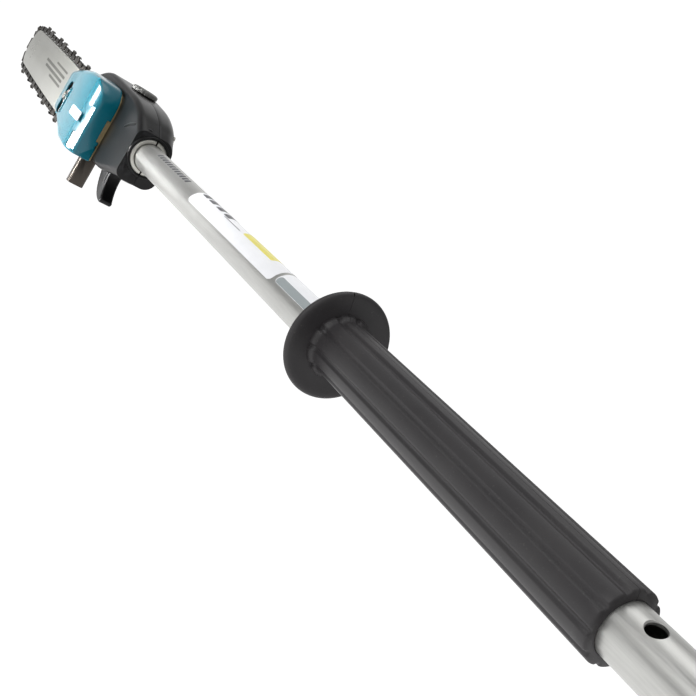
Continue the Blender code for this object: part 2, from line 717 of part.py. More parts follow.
# ---- sprocket, oil worm and the pieces on the output shaft -----------------------------------
WORM_RADIUS = 0.0056
BESIDE_WALL_Y = PAD_Y - WALL - 0.0004   # just inside the housing's left wall
WORM_Y = (0.0125, BESIDE_WALL_Y)
SPROCKET_HUB = 0.0085
SPROCKET_HUB_Y = (0.0218, 0.0300)
SPROCKET_TIP = SPROCKET_RADIUS - CHAIN_BELOW - SLIDE_GAP
SPROCKET_TOOTH_THICK = 0.0024


def star_outline(centre, teeth, tip, root, steps=2):
    """Teeth with flat tips and round valleys, as one closed outline."""
    points = []
    pitch = math.tau / teeth
    for i in range(teeth):
        start = pitch * i
        points += arc(centre, tip, start - pitch * 0.14, start + pitch * 0.14, steps)
        points += arc(centre, root, start + pitch * 0.36, start + pitch * 0.64, steps)
    return points


def worm_profile(grooves=3):
    """The oil worm's profile: round grooves between flat crests."""
    start, end = WORM_Y
    step = (end - start) / grooves
    profile = [(OUTPUT_DIAMETER / 2 + GAP, start), (OUTPUT_DIAMETER / 2 + GAP, end)]
    for i in range(grooves):
        top = end - step * i
        profile += [(WORM_RADIUS, top), (WORM_RADIUS, top - step * 0.3),
                    (WORM_RADIUS - 0.0006, top - step * 0.5),
                    (WORM_RADIUS, top - step * 0.7)]
    return profile + [(WORM_RADIUS, start)]


def make_output_pieces():
    worm = add_part("oil_worm", turned(worm_profile(), 16), "gear_steel", OUTPUT_AXIS)
    smooth(worm)

    centre = Matrix.Translation((OUTPUT_X, 0, OUTPUT_Z))
    half = SPROCKET_TOOTH_THICK / 2
    star = star_outline((0, 0), SPROCKET_TEETH, SPROCKET_TIP, SPROCKET_TIP - 0.0045)
    sprocket = add_part("drive_sprocket", plate(star, BAR_Y - half, BAR_Y + half),
                        "gear_steel", centre)
    join(sprocket, rod(SPROCKET_HUB, *SPROCKET_HUB_Y, 28), OUTPUT_AXIS)
    cut(sprocket, rod(OUTPUT_DIAMETER / 2 + GAP, 0.01, 0.04, 24), OUTPUT_AXIS)
    smooth(sprocket)

    washer_y = SPROCKET_HUB_Y[1] + GAP
    washer = ring(OUTPUT_DIAMETER / 2 + GAP, SPROCKET_HUB, washer_y, washer_y + 0.0010, 28)
    smooth(add_part("sprocket_washer", washer, "zinc_steel", OUTPUT_AXIS))
    clip_y = washer_y + 0.0010 + GAP
    clip = add_part("retaining_clip", ring(OUTPUT_DIAMETER / 2 + GAP, 0.0072, clip_y,
                                           clip_y + 0.0009, 24), "gear_steel", OUTPUT_AXIS)
    gap = box((-0.0016, -0.02, clip_y - EPS), (0.0016, 0, clip_y + EPS))
    cut(clip, gap, OUTPUT_AXIS)


# ---- bar, nose and chain -----------------------------------------------------------------------
def make_bar():
    offset = -RAIL_BELOW_RIVETS
    low, high = BAR_Y - BAR_THICK / 2, BAR_Y + BAR_THICK / 2
    obj = add_part("guide_bar", plate(loop_outline(offset, (12, 8, 2, 7)), low, high),
                   "bar_steel", BAR_FRAME)
    cut(obj, box((-0.05, low - EPS, -0.05), (BAR_TAIL_X, high + EPS, 0.05)), BAR_FRAME)
    nose = BAR_FRAME @ Matrix.Translation((NOSE_X, 0, 0)) @ ALONG_Y
    star_half = NOSE_STAR_THICK / 2 + GAP
    cut(obj, rod(NOSE_RADIUS + EPS / 2, BAR_Y - star_half, BAR_Y + star_half, 36), nose)
    half = RAIL_GROOVE_WIDTH / 2
    groove = band(loop_outline(offset + EPS), loop_outline(offset - RAIL_GROOVE_DEPTH),
                  BAR_Y - half, BAR_Y + half)
    cut(obj, groove, BAR_FRAME)
    cut(obj, rod(NOSE_RIVET_DIAMETER / 2 + GAP, low - EPS, high + EPS, 20), nose)
    radius = STUD_DIAMETER / 2 + GAP
    slot = rounded_slot(STUD_X - BAR_SLOT_BEHIND, STUD_X + BAR_SLOT_AHEAD, 0, radius)
    cut(obj, plate(slot, low - EPS, high + EPS), BAR_FRAME)
    for side in (-1, 1):
        hole = rod(ADJUST_HOLE_DIAMETER / 2, low - EPS, high + EPS, 20)
        place = Matrix.Translation((ADJUST_HOLE_X, 0, side * ADJUST_HOLE_Z))
        cut(obj, hole, BAR_FRAME @ place @ ALONG_Y)
    smooth(obj)


def make_nose():
    nose = BAR_FRAME @ Matrix.Translation((NOSE_X, 0, 0))
    tip = NOSE_RADIUS - CHAIN_BELOW - SLIDE_GAP
    half = NOSE_STAR_THICK / 2
    star = star_outline((0, 0), NOSE_STAR_TEETH, tip, tip - 0.0045)
    obj = add_part("nose_sprocket", plate(star, BAR_Y - half, BAR_Y + half), "gear_steel",
                   nose)
    cut(obj, rod(NOSE_RIVET_DIAMETER / 2 + GAP, 0, 0.05, 20), nose @ ALONG_Y)
    reach = BAR_THICK / 2
    rivet = rod(NOSE_RIVET_DIAMETER / 2, BAR_Y - reach, BAR_Y + reach, 20)
    smooth(add_part("nose_rivet", rivet, "zinc_steel", nose @ ALONG_Y))


def cutter_block(side):
    """A cutter's tooth: raked top plate on one side of the chain."""
    half = CUTTER_LENGTH / 2
    low = -CHAIN_BELOW + 0.0006
    outline = [(-half, low), (half, low), (half, 0.0030), (half - 0.0035, 0.0052),
               (half - 0.0050, 0.0030), (half - 0.0062, 0.0030),
               (half - 0.0068, CUTTER_TOP), (-half, CUTTER_TOP - 0.0006)]
    inner = -CHAIN_WIDTH / 2 + 0.0004
    outer = CUTTER_WIDTH / 2
    if side > 0:
        return plate(outline, inner, outer)
    return plate(outline, -outer, -inner)


def make_chain():
    steps = (12, 8, 2, 10)
    body = band(loop_outline(CHAIN_ABOVE, steps), loop_outline(-CHAIN_BELOW, steps),
                BAR_Y - CHAIN_WIDTH / 2, BAR_Y + CHAIN_WIDTH / 2)
    obj = add_part("saw_chain", body, "chain_steel", BAR_FRAME)
    meshes, matrices = [], []
    spacing = 4 * RIVET_PITCH
    for i in range(DRIVE_LINKS // 2):
        (x, z), heading = loop_place(spacing * (i + 0.5))
        turn = Matrix.Rotation(math.pi - heading, 4, 'Y')
        meshes.append(cutter_block(1 if i % 2 else -1))
        matrices.append(Matrix.Translation((x, BAR_Y, z)) @ turn)
    join(obj, merged(meshes, matrices), BAR_FRAME)
    smooth(obj, 30)


# ---- housing --------------------------------------------------------------------------------------
COVER_RIM_Y = PAD_Y + PLATE_THICK + 2 * GAP
SHELL_PARTING = GAP / 2
LIP_WIDTH = 0.0028           # raised ring round the collar
LIP_HEIGHT = 0.0010
SCREW_POSTS = ((0.7430, 0.0235), (0.7760, -0.0280), (0.8680, -0.0265), (0.8840, 0.0190))
POST_RADIUS = 0.0040
SHELL_SCREW_DIAMETER = 0.0032
SHELL_SCREW_HEAD = 0.0064
SHELL_SCREW_HEAD_HEIGHT = 0.0022
SHELL_SCREW_END_Y = 0.0080
STOP_SCREW_DIAMETER = 0.0045
STOP_SCREWS_X = (STOP_X + 0.0160, STOP_X + 0.0290)
STOP_SCREW_Y = 0.0138
STOP_SCREW_TOP_Z = -0.0290
TENSION_Y = 0.0133
TENSION_SCREW_DIAMETER = 0.0050
TENSION_BLOCK = 0.0078
TENSION_PIN_DIAMETER = 0.0052
TENSION_SCREW_START_X = 0.0340
TENSION_SCREW_END_X = 0.0860
STUD_FLANGE_DIAMETER = 0.0150
STUD_FLANGE_THICK = 0.0026
STUD_END_Y = 0.0425


def section_ring(x, left, right, bottom, top, right_radius, left_radius):
    """A round-cornered section across the pole at x, with a flat left side."""
    quarter = math.pi / 2
    ends = ((left - left_radius, top - left_radius, left_radius, 0),
            (right + right_radius, top - right_radius, right_radius, quarter),
            (right + right_radius, bottom + right_radius, right_radius, 2 * quarter),
            (left - left_radius, bottom + left_radius, left_radius, 3 * quarter))
    points = []
    for y, z, radius, start in ends:
        for across, up in arc((y, z), radius, start, start + quarter, CORNER_STEPS):
            points.append((x, across, up))
    return points


def row_at(rows, x):
    """A section's values at any x, between the two rows beside it."""
    for near, far in zip(rows, rows[1:]):
        if near[0] <= x <= far[0]:
            share = (x - near[0]) / (far[0] - near[0])
            return tuple(a + (b - a) * share for a, b in zip(near, far))
    return rows[-1]


def section_at(x):
    return row_at(HOUSING_SECTIONS, x)


def stations(rows, inset):
    """The rows' places, with both ends moved in by a wall."""
    first, last = rows[0][0] + inset, rows[-1][0] - inset
    return [first] + [row[0] for row in rows if first < row[0] < last] + [last]


def housing_solid(inset):
    rings = []
    for x in stations(HOUSING_SECTIONS, inset):
        _, right, bottom, top, right_radius, left_radius = section_at(x)
        rings.append(section_ring(x, PAD_Y - inset, right + inset, bottom + inset, top - inset,
                                  max(right_radius - inset, 0.0010),
                                  max(left_radius - inset, 0.0010)))
    return loft(rings)


def hook_outline():
    """The branch hook from the side: a fang that curves back towards the pole."""
    rear_top = (HOOK_X, -HOOK_WIDTH + 0.001)
    tip_rear = (HOOK_X - 0.0110, -0.0550)
    tip_front = (HOOK_X - 0.0060, -0.0588)
    front_top = (HOOK_X + HOOK_WIDTH, -HOOK_WIDTH - 0.001)
    outline = [rear_top]
    outline += bezier(rear_top, (HOOK_X + 0.0020, -0.0440), tip_rear, 6)
    outline += bezier(tip_rear, (HOOK_X - 0.0115, -0.0592), tip_front, 4)
    outline += bezier(tip_front, (HOOK_X + 0.0160, -0.0580), front_top, 6)
    return outline


def make_housing_half(name, side):
    """One half of the housing: side is +1 for the left half, -1 for the right."""
    obj = add_part(name, housing_solid(0), "housing_plastic")
    cut(obj, housing_solid(WALL))
    if side > 0:
        join(obj, hook_mesh())
    join(obj, ring(COLLAR_OD / 2, COLLAR_OD / 2 + LIP_WIDTH, HEAD_X - LIP_HEIGHT,
                   HEAD_X + WALL, 32), ALONG_X)
    for x, z in SCREW_POSTS:
        row = section_at(x)
        wall = PAD_Y - WALL / 2 if side > 0 else row[1] + WALL / 2
        low, high = sorted((0, wall))
        join(obj, rod(POST_RADIUS, low, high, 12), Matrix.Translation((x, 0, z)) @ ALONG_Y)
    far = 0.06
    away = (-far, SHELL_PARTING) if side > 0 else (-SHELL_PARTING, far)
    cut(obj, box((HEAD_X - 0.05, away[0], -far * 2), (1.0, away[1], far * 2)))
    for x, z in SCREW_POSTS:
        place = Matrix.Translation((x, 0, z)) @ ALONG_Y
        radius = SHELL_SCREW_DIAMETER / 2 + GAP
        row = section_at(x)
        if side > 0:
            cut(obj, rod(radius, -EPS, SHELL_SCREW_END_Y + GAP, 12), place)
        else:
            cut(obj, rod(radius, row[1] - EPS, EPS, 12), place)
            head = SHELL_SCREW_HEAD / 2 + GAP
            cut(obj, rod(head, row[1] - 0.010, screw_seat_y(x), 16), place)
    cut(obj, rod(COLLAR_OD / 2 + GAP, HEAD_X - EPS, HEAD_X + COLLAR_LENGTH, 32), ALONG_X)
    cap_hole = rod(NECK_DIAMETER / 2 + GAP, CAP_SEAT_Z - 0.02, CAP_SEAT_Z + 0.02, 32)
    cut(obj, cap_hole, Matrix.Translation((CAP_X, CAP_Y, 0)))
    if side > 0:
        open_left_wall(obj)
    smooth(obj, 30)


def screw_seat_y(x):
    """How deep a shell screw's head sits, at a place along the housing."""
    return section_at(x)[1] + SHELL_SCREW_HEAD_HEIGHT + 0.0010


def open_left_wall(obj):
    low, high = PAD_Y - WALL - EPS, PAD_Y + EPS
    cut(obj, rod(SPROCKET_HUB + 0.0010, low, high, 28), OUTPUT_AXIS)
    stud = BAR_FRAME @ Matrix.Translation((STUD_X, 0, 0)) @ ALONG_Y
    cut(obj, rod(STUD_DIAMETER / 2 + GAP, low, high, 24), stud)
    cut(obj, pin_slot(low, high), BAR_FRAME)
    screw = BAR_FRAME @ Matrix.Translation((0, TENSION_Y, ADJUST_HOLE_Z)) @ ALONG_X
    cut(obj, rod(TENSION_SCREW_DIAMETER / 2 + GAP, TENSION_SCREW_END_X - 0.012,
                 TENSION_SCREW_END_X + 0.01, 16), screw)
    for x in STOP_SCREWS_X:
        hole = rod(STOP_SCREW_DIAMETER / 2 + GAP, -0.05, STOP_SCREW_TOP_Z + GAP, 16)
        cut(obj, hole, Matrix.Translation((x, STOP_SCREW_Y, 0)))


def pin_slot(low, high):
    """The slot in which the tension pin travels."""
    radius = TENSION_PIN_DIAMETER / 2 + SLIDE_GAP
    outline = rounded_slot(ADJUST_HOLE_X - ADJUST_TRAVEL, ADJUST_HOLE_X, ADJUST_HOLE_Z, radius)
    return plate(outline, low, high)


def hook_mesh():
    holder = add_cutter(plate(hook_outline(), HOOK_Y0, HOOK_Y1))
    soften(holder, 0.0032, 3, 50)
    return baked(holder)


def make_shell_screws():
    for i, (x, z) in enumerate(SCREW_POSTS):
        seat = screw_seat_y(x)
        profile = [(0, SHELL_SCREW_END_Y), (SHELL_SCREW_DIAMETER / 2, SHELL_SCREW_END_Y),
                   (SHELL_SCREW_DIAMETER / 2, seat - GAP), (SHELL_SCREW_HEAD / 2, seat - GAP),
                   (SHELL_SCREW_HEAD / 2, seat - SHELL_SCREW_HEAD_HEIGHT),
                   (0, seat - SHELL_SCREW_HEAD_HEIGHT)]
        screw = turned(profile, 16, closed=False)
        place = Matrix.Translation((x, 0, z)) @ ALONG_Y
        smooth(add_part(f"housing_screw_{i + 1}", screw, "zinc_steel", place))


def make_clamp_bolts():
    for i, x in enumerate(CLAMP_BOLTS_X):
        radius = CLAMP_BOLT_DIAMETER / 2
        head = LUG_HALF_WIDTH + GAP
        profile = [(0, head + 0.0045), (0.0042, head + 0.0045), (0.0042, head),
                   (radius, head), (radius, -LUG_HALF_WIDTH - 0.003),
                   (0, -LUG_HALF_WIDTH - 0.003)]
        place = Matrix.Translation((x, 0, CLAMP_BOLT_Z)) @ ALONG_Y
        bolt = add_part(f"clamp_bolt_{i + 1}", turned(profile, 20, closed=False),
                        "zinc_steel", place)
        socket = rod(0.0023, head + 0.0020, head + 0.0060, 6)
        cut(bolt, socket, place)
        smooth(bolt)
    radius = LOCATING_SCREW_DIAMETER / 2
    low = PIPE_OD / 2 - PIPE_WALL + 0.0002
    top = COLLAR_OD / 2 + GAP
    profile = [(0, top + 0.0028), (0.0042, top + 0.0028), (0.0042, top), (radius, top),
               (radius, low), (0, low)]
    screw = add_part("locating_screw", turned(profile, 20, closed=False), "zinc_steel",
                     Matrix.Translation((LOCATING_SCREW_X, 0, 0)))
    smooth(screw)


# ---- oil tank, cap and pump --------------------------------------------------------------------------
CAP_SEAT_Z = 0.0412
TANK_GAP = 0.0006
TANK_WALL = 0.0016
SEAL_THICK = 0.0014
NECK_TOP_Z = CAP_SEAT_Z + CAP_LIFT - SEAL_THICK - 2 * GAP
PUMP_X = (0.8480, 0.8640)
PUMP_Y = (0.0126, BESIDE_WALL_Y)
PUMP_Z = (0.0010, 0.0130)
HOSE_DIAMETER = 0.0032
HOSE_X = 0.8560
HOSE_Y = 0.0120
PLUNGER_RADIUS = 0.0016


def tank_solid(inset):
    """The inside of the housing's top, less the walls and a clearance."""
    holder = add_cutter(housing_solid(WALL + TANK_GAP + inset))
    room = box((TANK_X0 + inset, -0.05, TANK_BOTTOM_Z + inset), (TANK_X1 - inset, 0.05, 0.06))
    combine(holder, room, 'INTERSECT')
    return baked(holder)


def make_tank():
    neck = Matrix.Translation((CAP_X, CAP_Y, 0))
    obj = add_part("oil_tank", tank_solid(0), "tank_plastic")
    join(obj, rod(NECK_DIAMETER / 2, CAP_SEAT_Z - 0.008, NECK_TOP_Z, 32), neck)
    cut(obj, tank_solid(TANK_WALL))
    bore = NECK_DIAMETER / 2 - NECK_WALL
    cut(obj, rod(bore, CAP_SEAT_Z - 0.010, CAP_SEAT_Z + 0.01, 32), neck)
    outlet = Matrix.Translation((HOSE_X, HOSE_Y, 0))
    cut(obj, rod(HOSE_DIAMETER / 2 + GAP, TANK_BOTTOM_Z - EPS, TANK_BOTTOM_Z + 0.005, 16),
        outlet)
    smooth(obj, 30)

    seal_low = NECK_TOP_Z + GAP
    seal = ring(bore, NECK_DIAMETER / 2, seal_low, seal_low + SEAL_THICK, 32)
    smooth(add_part("cap_seal", seal, "seal_rubber", neck))

    low = CAP_SEAT_Z + CAP_LIFT
    radius = CAP_DIAMETER / 2
    plug = bore - SLIDE_GAP
    profile = [(0, low + CAP_HEIGHT), (radius - 0.0020, low + CAP_HEIGHT),
               (radius - 0.0004, low + CAP_HEIGHT - 0.0016), (radius, low + 0.0006),
               (radius - 0.0004, low), (plug, low), (plug, low - 0.007), (0, low - 0.007)]
    cap = add_part("oil_cap", turned(profile, 40, closed=False), "cap_plastic", neck)
    smooth(cap)


def make_pump():
    low = (PUMP_X[0], PUMP_Y[0], PUMP_Z[0])
    high = (PUMP_X[1], PUMP_Y[1], PUMP_Z[1])
    body = add_part("oil_pump_body", box(low, high), "cast_aluminium")
    soften(body, 0.0008, 2)
    middle = Matrix.Translation((0, (PUMP_Y[0] + PUMP_Y[1]) / 2, OUTPUT_Z + WORM_RADIUS
                                 + PLUNGER_RADIUS + SLIDE_GAP)) @ ALONG_X
    cut(body, rod(PLUNGER_RADIUS + GAP, PUMP_X[0] - EPS, PUMP_X[0] + 0.010, 20), middle)
    plunger = rod(PLUNGER_RADIUS, OUTPUT_X - 0.006, PUMP_X[0] + 0.0095, 20)
    obj = add_part("pump_plunger", plunger, "gear_steel", middle)
    smooth(obj)
    curve = bpy.data.curves.new("hose", 'CURVE')
    curve.dimensions = '3D'
    curve.bevel_depth = HOSE_DIAMETER / 2
    curve.bevel_resolution = 2
    curve.use_fill_caps = True
    spline = curve.splines.new('POLY')
    points = [(HOSE_X, HOSE_Y + 0.0022, PUMP_Z[1] + 2 * GAP), (HOSE_X, HOSE_Y + 0.0016, 0.0150),
              (HOSE_X, HOSE_Y + 0.0004, 0.0175), (HOSE_X, HOSE_Y, 0.0200),
              (HOSE_X, HOSE_Y, TANK_BOTTOM_Z + 0.0035)]
    spline.points.add(len(points) - 1)
    for point, place in zip(spline.points, points):
        point.co = (*place, 1)
    holder = bpy.data.objects.new("hose", curve)
    CUTTERS.objects.link(holder)
    smooth(add_part("oil_hose", baked(holder), "seal_rubber"))



# ---- cover, bar plate, stud, nut and tensioner -----------------------------------------------------------
def cover_ring(x, outer, bottom, top, rim, radius):
    quarter = math.pi / 2
    points = [(x, rim, bottom)]
    for y, z, start in ((outer - radius, bottom + radius, -quarter),
                        (outer - radius, top - radius, 0)):
        for across, up in arc((y, z), radius, start, start + quarter, 4):
            points.append((x, across, up))
    points.append((x, rim, top))
    return points


def cover_solid(inset, rim):
    rings = []
    for x in stations(COVER_SECTIONS, inset):
        _, outer, bottom, top, corner = row_at(COVER_SECTIONS, x)
        rings.append(cover_ring(x, outer - inset, bottom + inset, top - inset, rim,
                                max(corner - inset, 0.001)))
    return loft(rings)


def make_cover():
    obj = add_part("sprocket_cover", cover_solid(0, COVER_RIM_Y), "cover_teal")
    cut(obj, cover_solid(WALL, COVER_RIM_Y - EPS))
    stud_x = (BAR_FRAME @ Vector((STUD_X, 0, 0))).x
    half = COVER_POCKET_LENGTH / 2
    bar_face = BAR_Y + BAR_THICK / 2 + GAP
    chain_side = BAR_Y + CUTTER_WIDTH / 2 + 0.0012
    exit_x = COVER_SECTIONS[-4][0] - COVER_EXIT_BACK
    cut(obj, box((exit_x, COVER_RIM_Y - EPS, -0.06), (0.95, chain_side, 0.06)))
    floor = COVER_POCKET_FLOOR_Y
    face = COVER_SECTIONS[-2][1]
    block = rounded_box(stud_x - half, stud_x + half, COVER_POCKET_BOTTOM, COVER_POCKET_TOP,
                        0.007)
    join(obj, plate(block, floor - WALL, face - 0.001))
    stud = BAR_FRAME @ Matrix.Translation((STUD_X, 0, 0)) @ ALONG_Y
    join(obj, rod(COVER_CLAMP_RADIUS, bar_face, floor - WALL / 2, 28), stud)
    wall = 0.0016
    pocket = rounded_box(stud_x - half + wall, stud_x + half - wall,
                         COVER_POCKET_BOTTOM + wall, COVER_POCKET_TOP - wall, 0.006)
    cut(obj, plate(pocket, floor, 0.06))
    cut(obj, rod(STUD_DIAMETER / 2 + GAP, bar_face - EPS, floor + EPS, 24), stud)
    notch_x = COVER_SECTIONS[0][0]
    cut(obj, box((notch_x - EPS, COVER_RIM_Y - EPS, NOTCH_Z[0]),
                 (notch_x + WALL + 0.004, COVER_RIM_Y + NOTCH_DEPTH, NOTCH_Z[1])))
    smooth(obj, 30)


def make_bar_plate():
    inset = 0.0014
    lower = [(row[0], row[2] + inset) for row in COVER_SECTIONS]
    upper = [(row[0], row[3] - inset) for row in reversed(COVER_SECTIONS)]
    low = PAD_Y + GAP
    obj = add_part("bar_plate", plate(lower + upper, low, low + PLATE_THICK), "plate_steel")
    pad = rounded_box(0.039, 0.085, -0.0175, 0.0175, 0.003)
    pad_top = BAR_Y - BAR_THICK / 2 - GAP
    join(obj, plate(pad, low + PLATE_THICK / 2, pad_top), BAR_FRAME)
    lip_x = COVER_SECTIONS[0][0] + GAP
    join(obj, box((lip_x, low + PLATE_THICK / 2, NOTCH_Z[0] + SLIDE_GAP),
                  (lip_x + PLATE_THICK, COVER_RIM_Y + NOTCH_DEPTH - GAP,
                   NOTCH_Z[1] - SLIDE_GAP)))
    cut(obj, rod(SPROCKET_HUB + 0.0030, low - EPS, low + 2 * EPS, 32), OUTPUT_AXIS)
    stud = BAR_FRAME @ Matrix.Translation((STUD_X, 0, 0)) @ ALONG_Y
    cut(obj, rod(STUD_DIAMETER / 2 + GAP, low - EPS, pad_top + EPS, 24), stud)
    cut(obj, pin_slot(low - EPS, pad_top + EPS), BAR_FRAME)
    smooth(obj, 30)


def make_stud_and_nut():
    place = BAR_FRAME @ Matrix.Translation((STUD_X, 0, 0)) @ ALONG_Y
    radius = STUD_DIAMETER / 2
    inside = PAD_Y - WALL - GAP
    flange = STUD_FLANGE_DIAMETER / 2
    profile = [(0, STUD_END_Y), (radius - 0.0008, STUD_END_Y), (radius, STUD_END_Y - 0.0008),
               (radius, inside), (flange, inside), (flange, inside - STUD_FLANGE_THICK),
               (0, inside - STUD_FLANGE_THICK)]
    smooth(add_part("bar_stud", turned(profile, 24, closed=False), "zinc_steel", place))
    seat = COVER_POCKET_FLOOR_Y + GAP
    corner = NUT_ACROSS_FLATS / math.sqrt(3)
    nut = add_part("bar_nut", rod(corner, seat + NUT_FLANGE_THICK / 2, seat + NUT_HEIGHT, 6),
                   "zinc_steel", place)
    join(nut, rod(NUT_FLANGE_DIAMETER / 2, seat, seat + NUT_FLANGE_THICK, 32), place)
    cut(nut, rod(radius + GAP, seat - EPS, seat + NUT_HEIGHT + EPS, 24), place)
    smooth(nut, 20)


def make_tensioner():
    block_frame = BAR_FRAME @ Matrix.Translation((ADJUST_HOLE_X, 0, ADJUST_HOLE_Z))
    half = TENSION_BLOCK / 2
    low = TENSION_Y - half
    high = min(TENSION_Y + half, PAD_Y - WALL - SLIDE_GAP)
    obj = add_part("tension_pin", box((-half, low, -half), (half, high, half)), "zinc_steel",
                   block_frame)
    soften(obj, 0.0006, 1)
    pin_end = BAR_Y + BAR_THICK / 2
    join(obj, rod(TENSION_PIN_DIAMETER / 2, high - 0.001, pin_end, 20), block_frame @ ALONG_Y)
    screw_frame = BAR_FRAME @ Matrix.Translation((0, TENSION_Y, ADJUST_HOLE_Z)) @ ALONG_X
    radius = TENSION_SCREW_DIAMETER / 2
    cut(obj, rod(radius + GAP, 0.02, 0.08, 20), screw_frame)
    smooth(obj)
    head = TENSION_SCREW_END_X
    profile = [(0, head + 0.0030), (0.0040, head + 0.0030), (0.0043, head + 0.0026),
               (0.0043, head), (radius, head), (radius, TENSION_SCREW_START_X),
               (0, TENSION_SCREW_START_X)]
    screw = add_part("tension_screw", turned(profile, 24, closed=False), "zinc_steel",
                     screw_frame)
    slot = box((-0.0006, -0.006, head + 0.0014), (0.0006, 0.006, head + 0.006))
    cut(screw, slot, screw_frame)
    smooth(screw)


# ---- branch stop ------------------------------------------------------------------------------------------
def channel_outline():
    """The stop's bent channel from above, as (x, y) points, open towards +X."""
    bend = STOP_THICK + 0.0010
    quarter = math.pi / 2
    outline = [(STOP_X + STOP_DEPTH, STOP_Y1)]
    for radius, turns in ((bend, (1, 2)), (bend - STOP_THICK, (2, 1))):
        corners = ((STOP_Y1 - bend, 1), (STOP_Y0 + bend, -1))
        if turns[0] == 2:
            corners = corners[::-1]
        for y, side in corners:
            start, end = (quarter, 2 * quarter) if side > 0 else (2 * quarter, 3 * quarter)
            if turns[0] == 2:
                start, end = end, start
            outline += arc((STOP_X + bend, y), radius, start, end, 3)
        if turns[0] == 1:
            outline += [(STOP_X + STOP_DEPTH, STOP_Y0),
                        (STOP_X + STOP_DEPTH, STOP_Y0 + STOP_THICK)]
    return outline + [(STOP_X + STOP_DEPTH, STOP_Y1 - STOP_THICK)]


def make_stop():
    inner = STOP_THICK
    tab_top = HOUSING_SECTIONS[4][2] - GAP
    channel_top = tab_top - inner + 0.0002
    upright = Matrix.Rotation(math.radians(-90), 4, 'X')
    channel = plate(channel_outline(), -channel_top, -STOP_BOTTOM_Z)
    channel.transform(upright)
    obj = add_part("branch_stop", channel, "stop_steel")
    join(obj, box((STOP_X, STOP_Y0 + 0.0010, tab_top - inner),
                  (STOP_X + STOP_TAB_LENGTH, PAD_Y - 0.0010, tab_top)))
    for x in STOP_SCREWS_X:
        hole = rod(STOP_SCREW_DIAMETER / 2 + GAP, tab_top - inner - EPS, tab_top + EPS, 16)
        cut(obj, hole, Matrix.Translation((x, STOP_SCREW_Y, 0)))
    smooth(obj)
    for i, x in enumerate(STOP_SCREWS_X):
        seat = tab_top - inner - GAP
        profile = [(0, STOP_SCREW_TOP_Z), (STOP_SCREW_DIAMETER / 2, STOP_SCREW_TOP_Z),
                   (STOP_SCREW_DIAMETER / 2, seat), (0.0042, seat), (0.0042, seat - 0.0030),
                   (0, seat - 0.0030)]
        screw = turned(profile, 20, closed=False)
        place = Matrix.Translation((x, STOP_SCREW_Y, 0))
        smooth(add_part(f"stop_screw_{i + 1}", screw, "zinc_steel", place))


def build():
    make_pipe()
    make_grip()
    make_drive_shaft()
    make_gear_case()
    make_case_lid()
    make_bearings()
    make_gears()
    make_output_pieces()
    make_clamp_bolts()
    make_housing_half("housing_left", 1)
    make_housing_half("housing_right", -1)
    make_shell_screws()
    make_tank()
    make_pump()
    make_bar_plate()
    make_stud_and_nut()
    make_tensioner()
    make_bar()
    make_nose()
    make_chain()
    make_cover()
    make_stop()


clear_scene()
PARTS = make_collection("pole_saw")
CUTTERS = make_collection("cutters")
build()
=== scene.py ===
import json
import math

import bmesh
import bpy
from mathutils import Matrix, Vector


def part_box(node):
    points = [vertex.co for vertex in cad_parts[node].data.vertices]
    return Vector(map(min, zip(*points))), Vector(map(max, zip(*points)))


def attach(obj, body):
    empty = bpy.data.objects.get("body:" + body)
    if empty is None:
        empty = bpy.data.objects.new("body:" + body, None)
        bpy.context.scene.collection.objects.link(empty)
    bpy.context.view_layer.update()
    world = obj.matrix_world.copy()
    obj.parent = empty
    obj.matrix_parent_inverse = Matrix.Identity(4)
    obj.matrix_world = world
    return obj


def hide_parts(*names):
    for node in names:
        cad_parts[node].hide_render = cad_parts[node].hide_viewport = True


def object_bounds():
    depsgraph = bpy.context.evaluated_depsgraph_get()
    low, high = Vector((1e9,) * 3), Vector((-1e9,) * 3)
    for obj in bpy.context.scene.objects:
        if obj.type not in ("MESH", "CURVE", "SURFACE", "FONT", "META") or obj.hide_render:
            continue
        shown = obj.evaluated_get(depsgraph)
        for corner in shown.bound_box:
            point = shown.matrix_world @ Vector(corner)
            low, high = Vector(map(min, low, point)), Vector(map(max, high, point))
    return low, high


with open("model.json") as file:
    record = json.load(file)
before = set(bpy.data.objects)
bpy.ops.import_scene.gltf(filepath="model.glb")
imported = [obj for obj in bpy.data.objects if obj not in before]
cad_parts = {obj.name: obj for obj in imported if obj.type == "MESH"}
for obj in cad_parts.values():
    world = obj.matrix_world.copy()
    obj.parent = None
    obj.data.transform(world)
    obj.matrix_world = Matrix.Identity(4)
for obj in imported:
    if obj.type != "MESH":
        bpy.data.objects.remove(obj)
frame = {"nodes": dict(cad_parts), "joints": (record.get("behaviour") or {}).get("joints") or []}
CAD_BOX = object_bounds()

NODES = frame["nodes"]
TAU = math.tau
PI = math.pi
MM = 0.001


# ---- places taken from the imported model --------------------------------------
def low_high(node):
    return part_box(node)


def joint(name):
    return next(j for j in frame["joints"] if j["name"] == name)


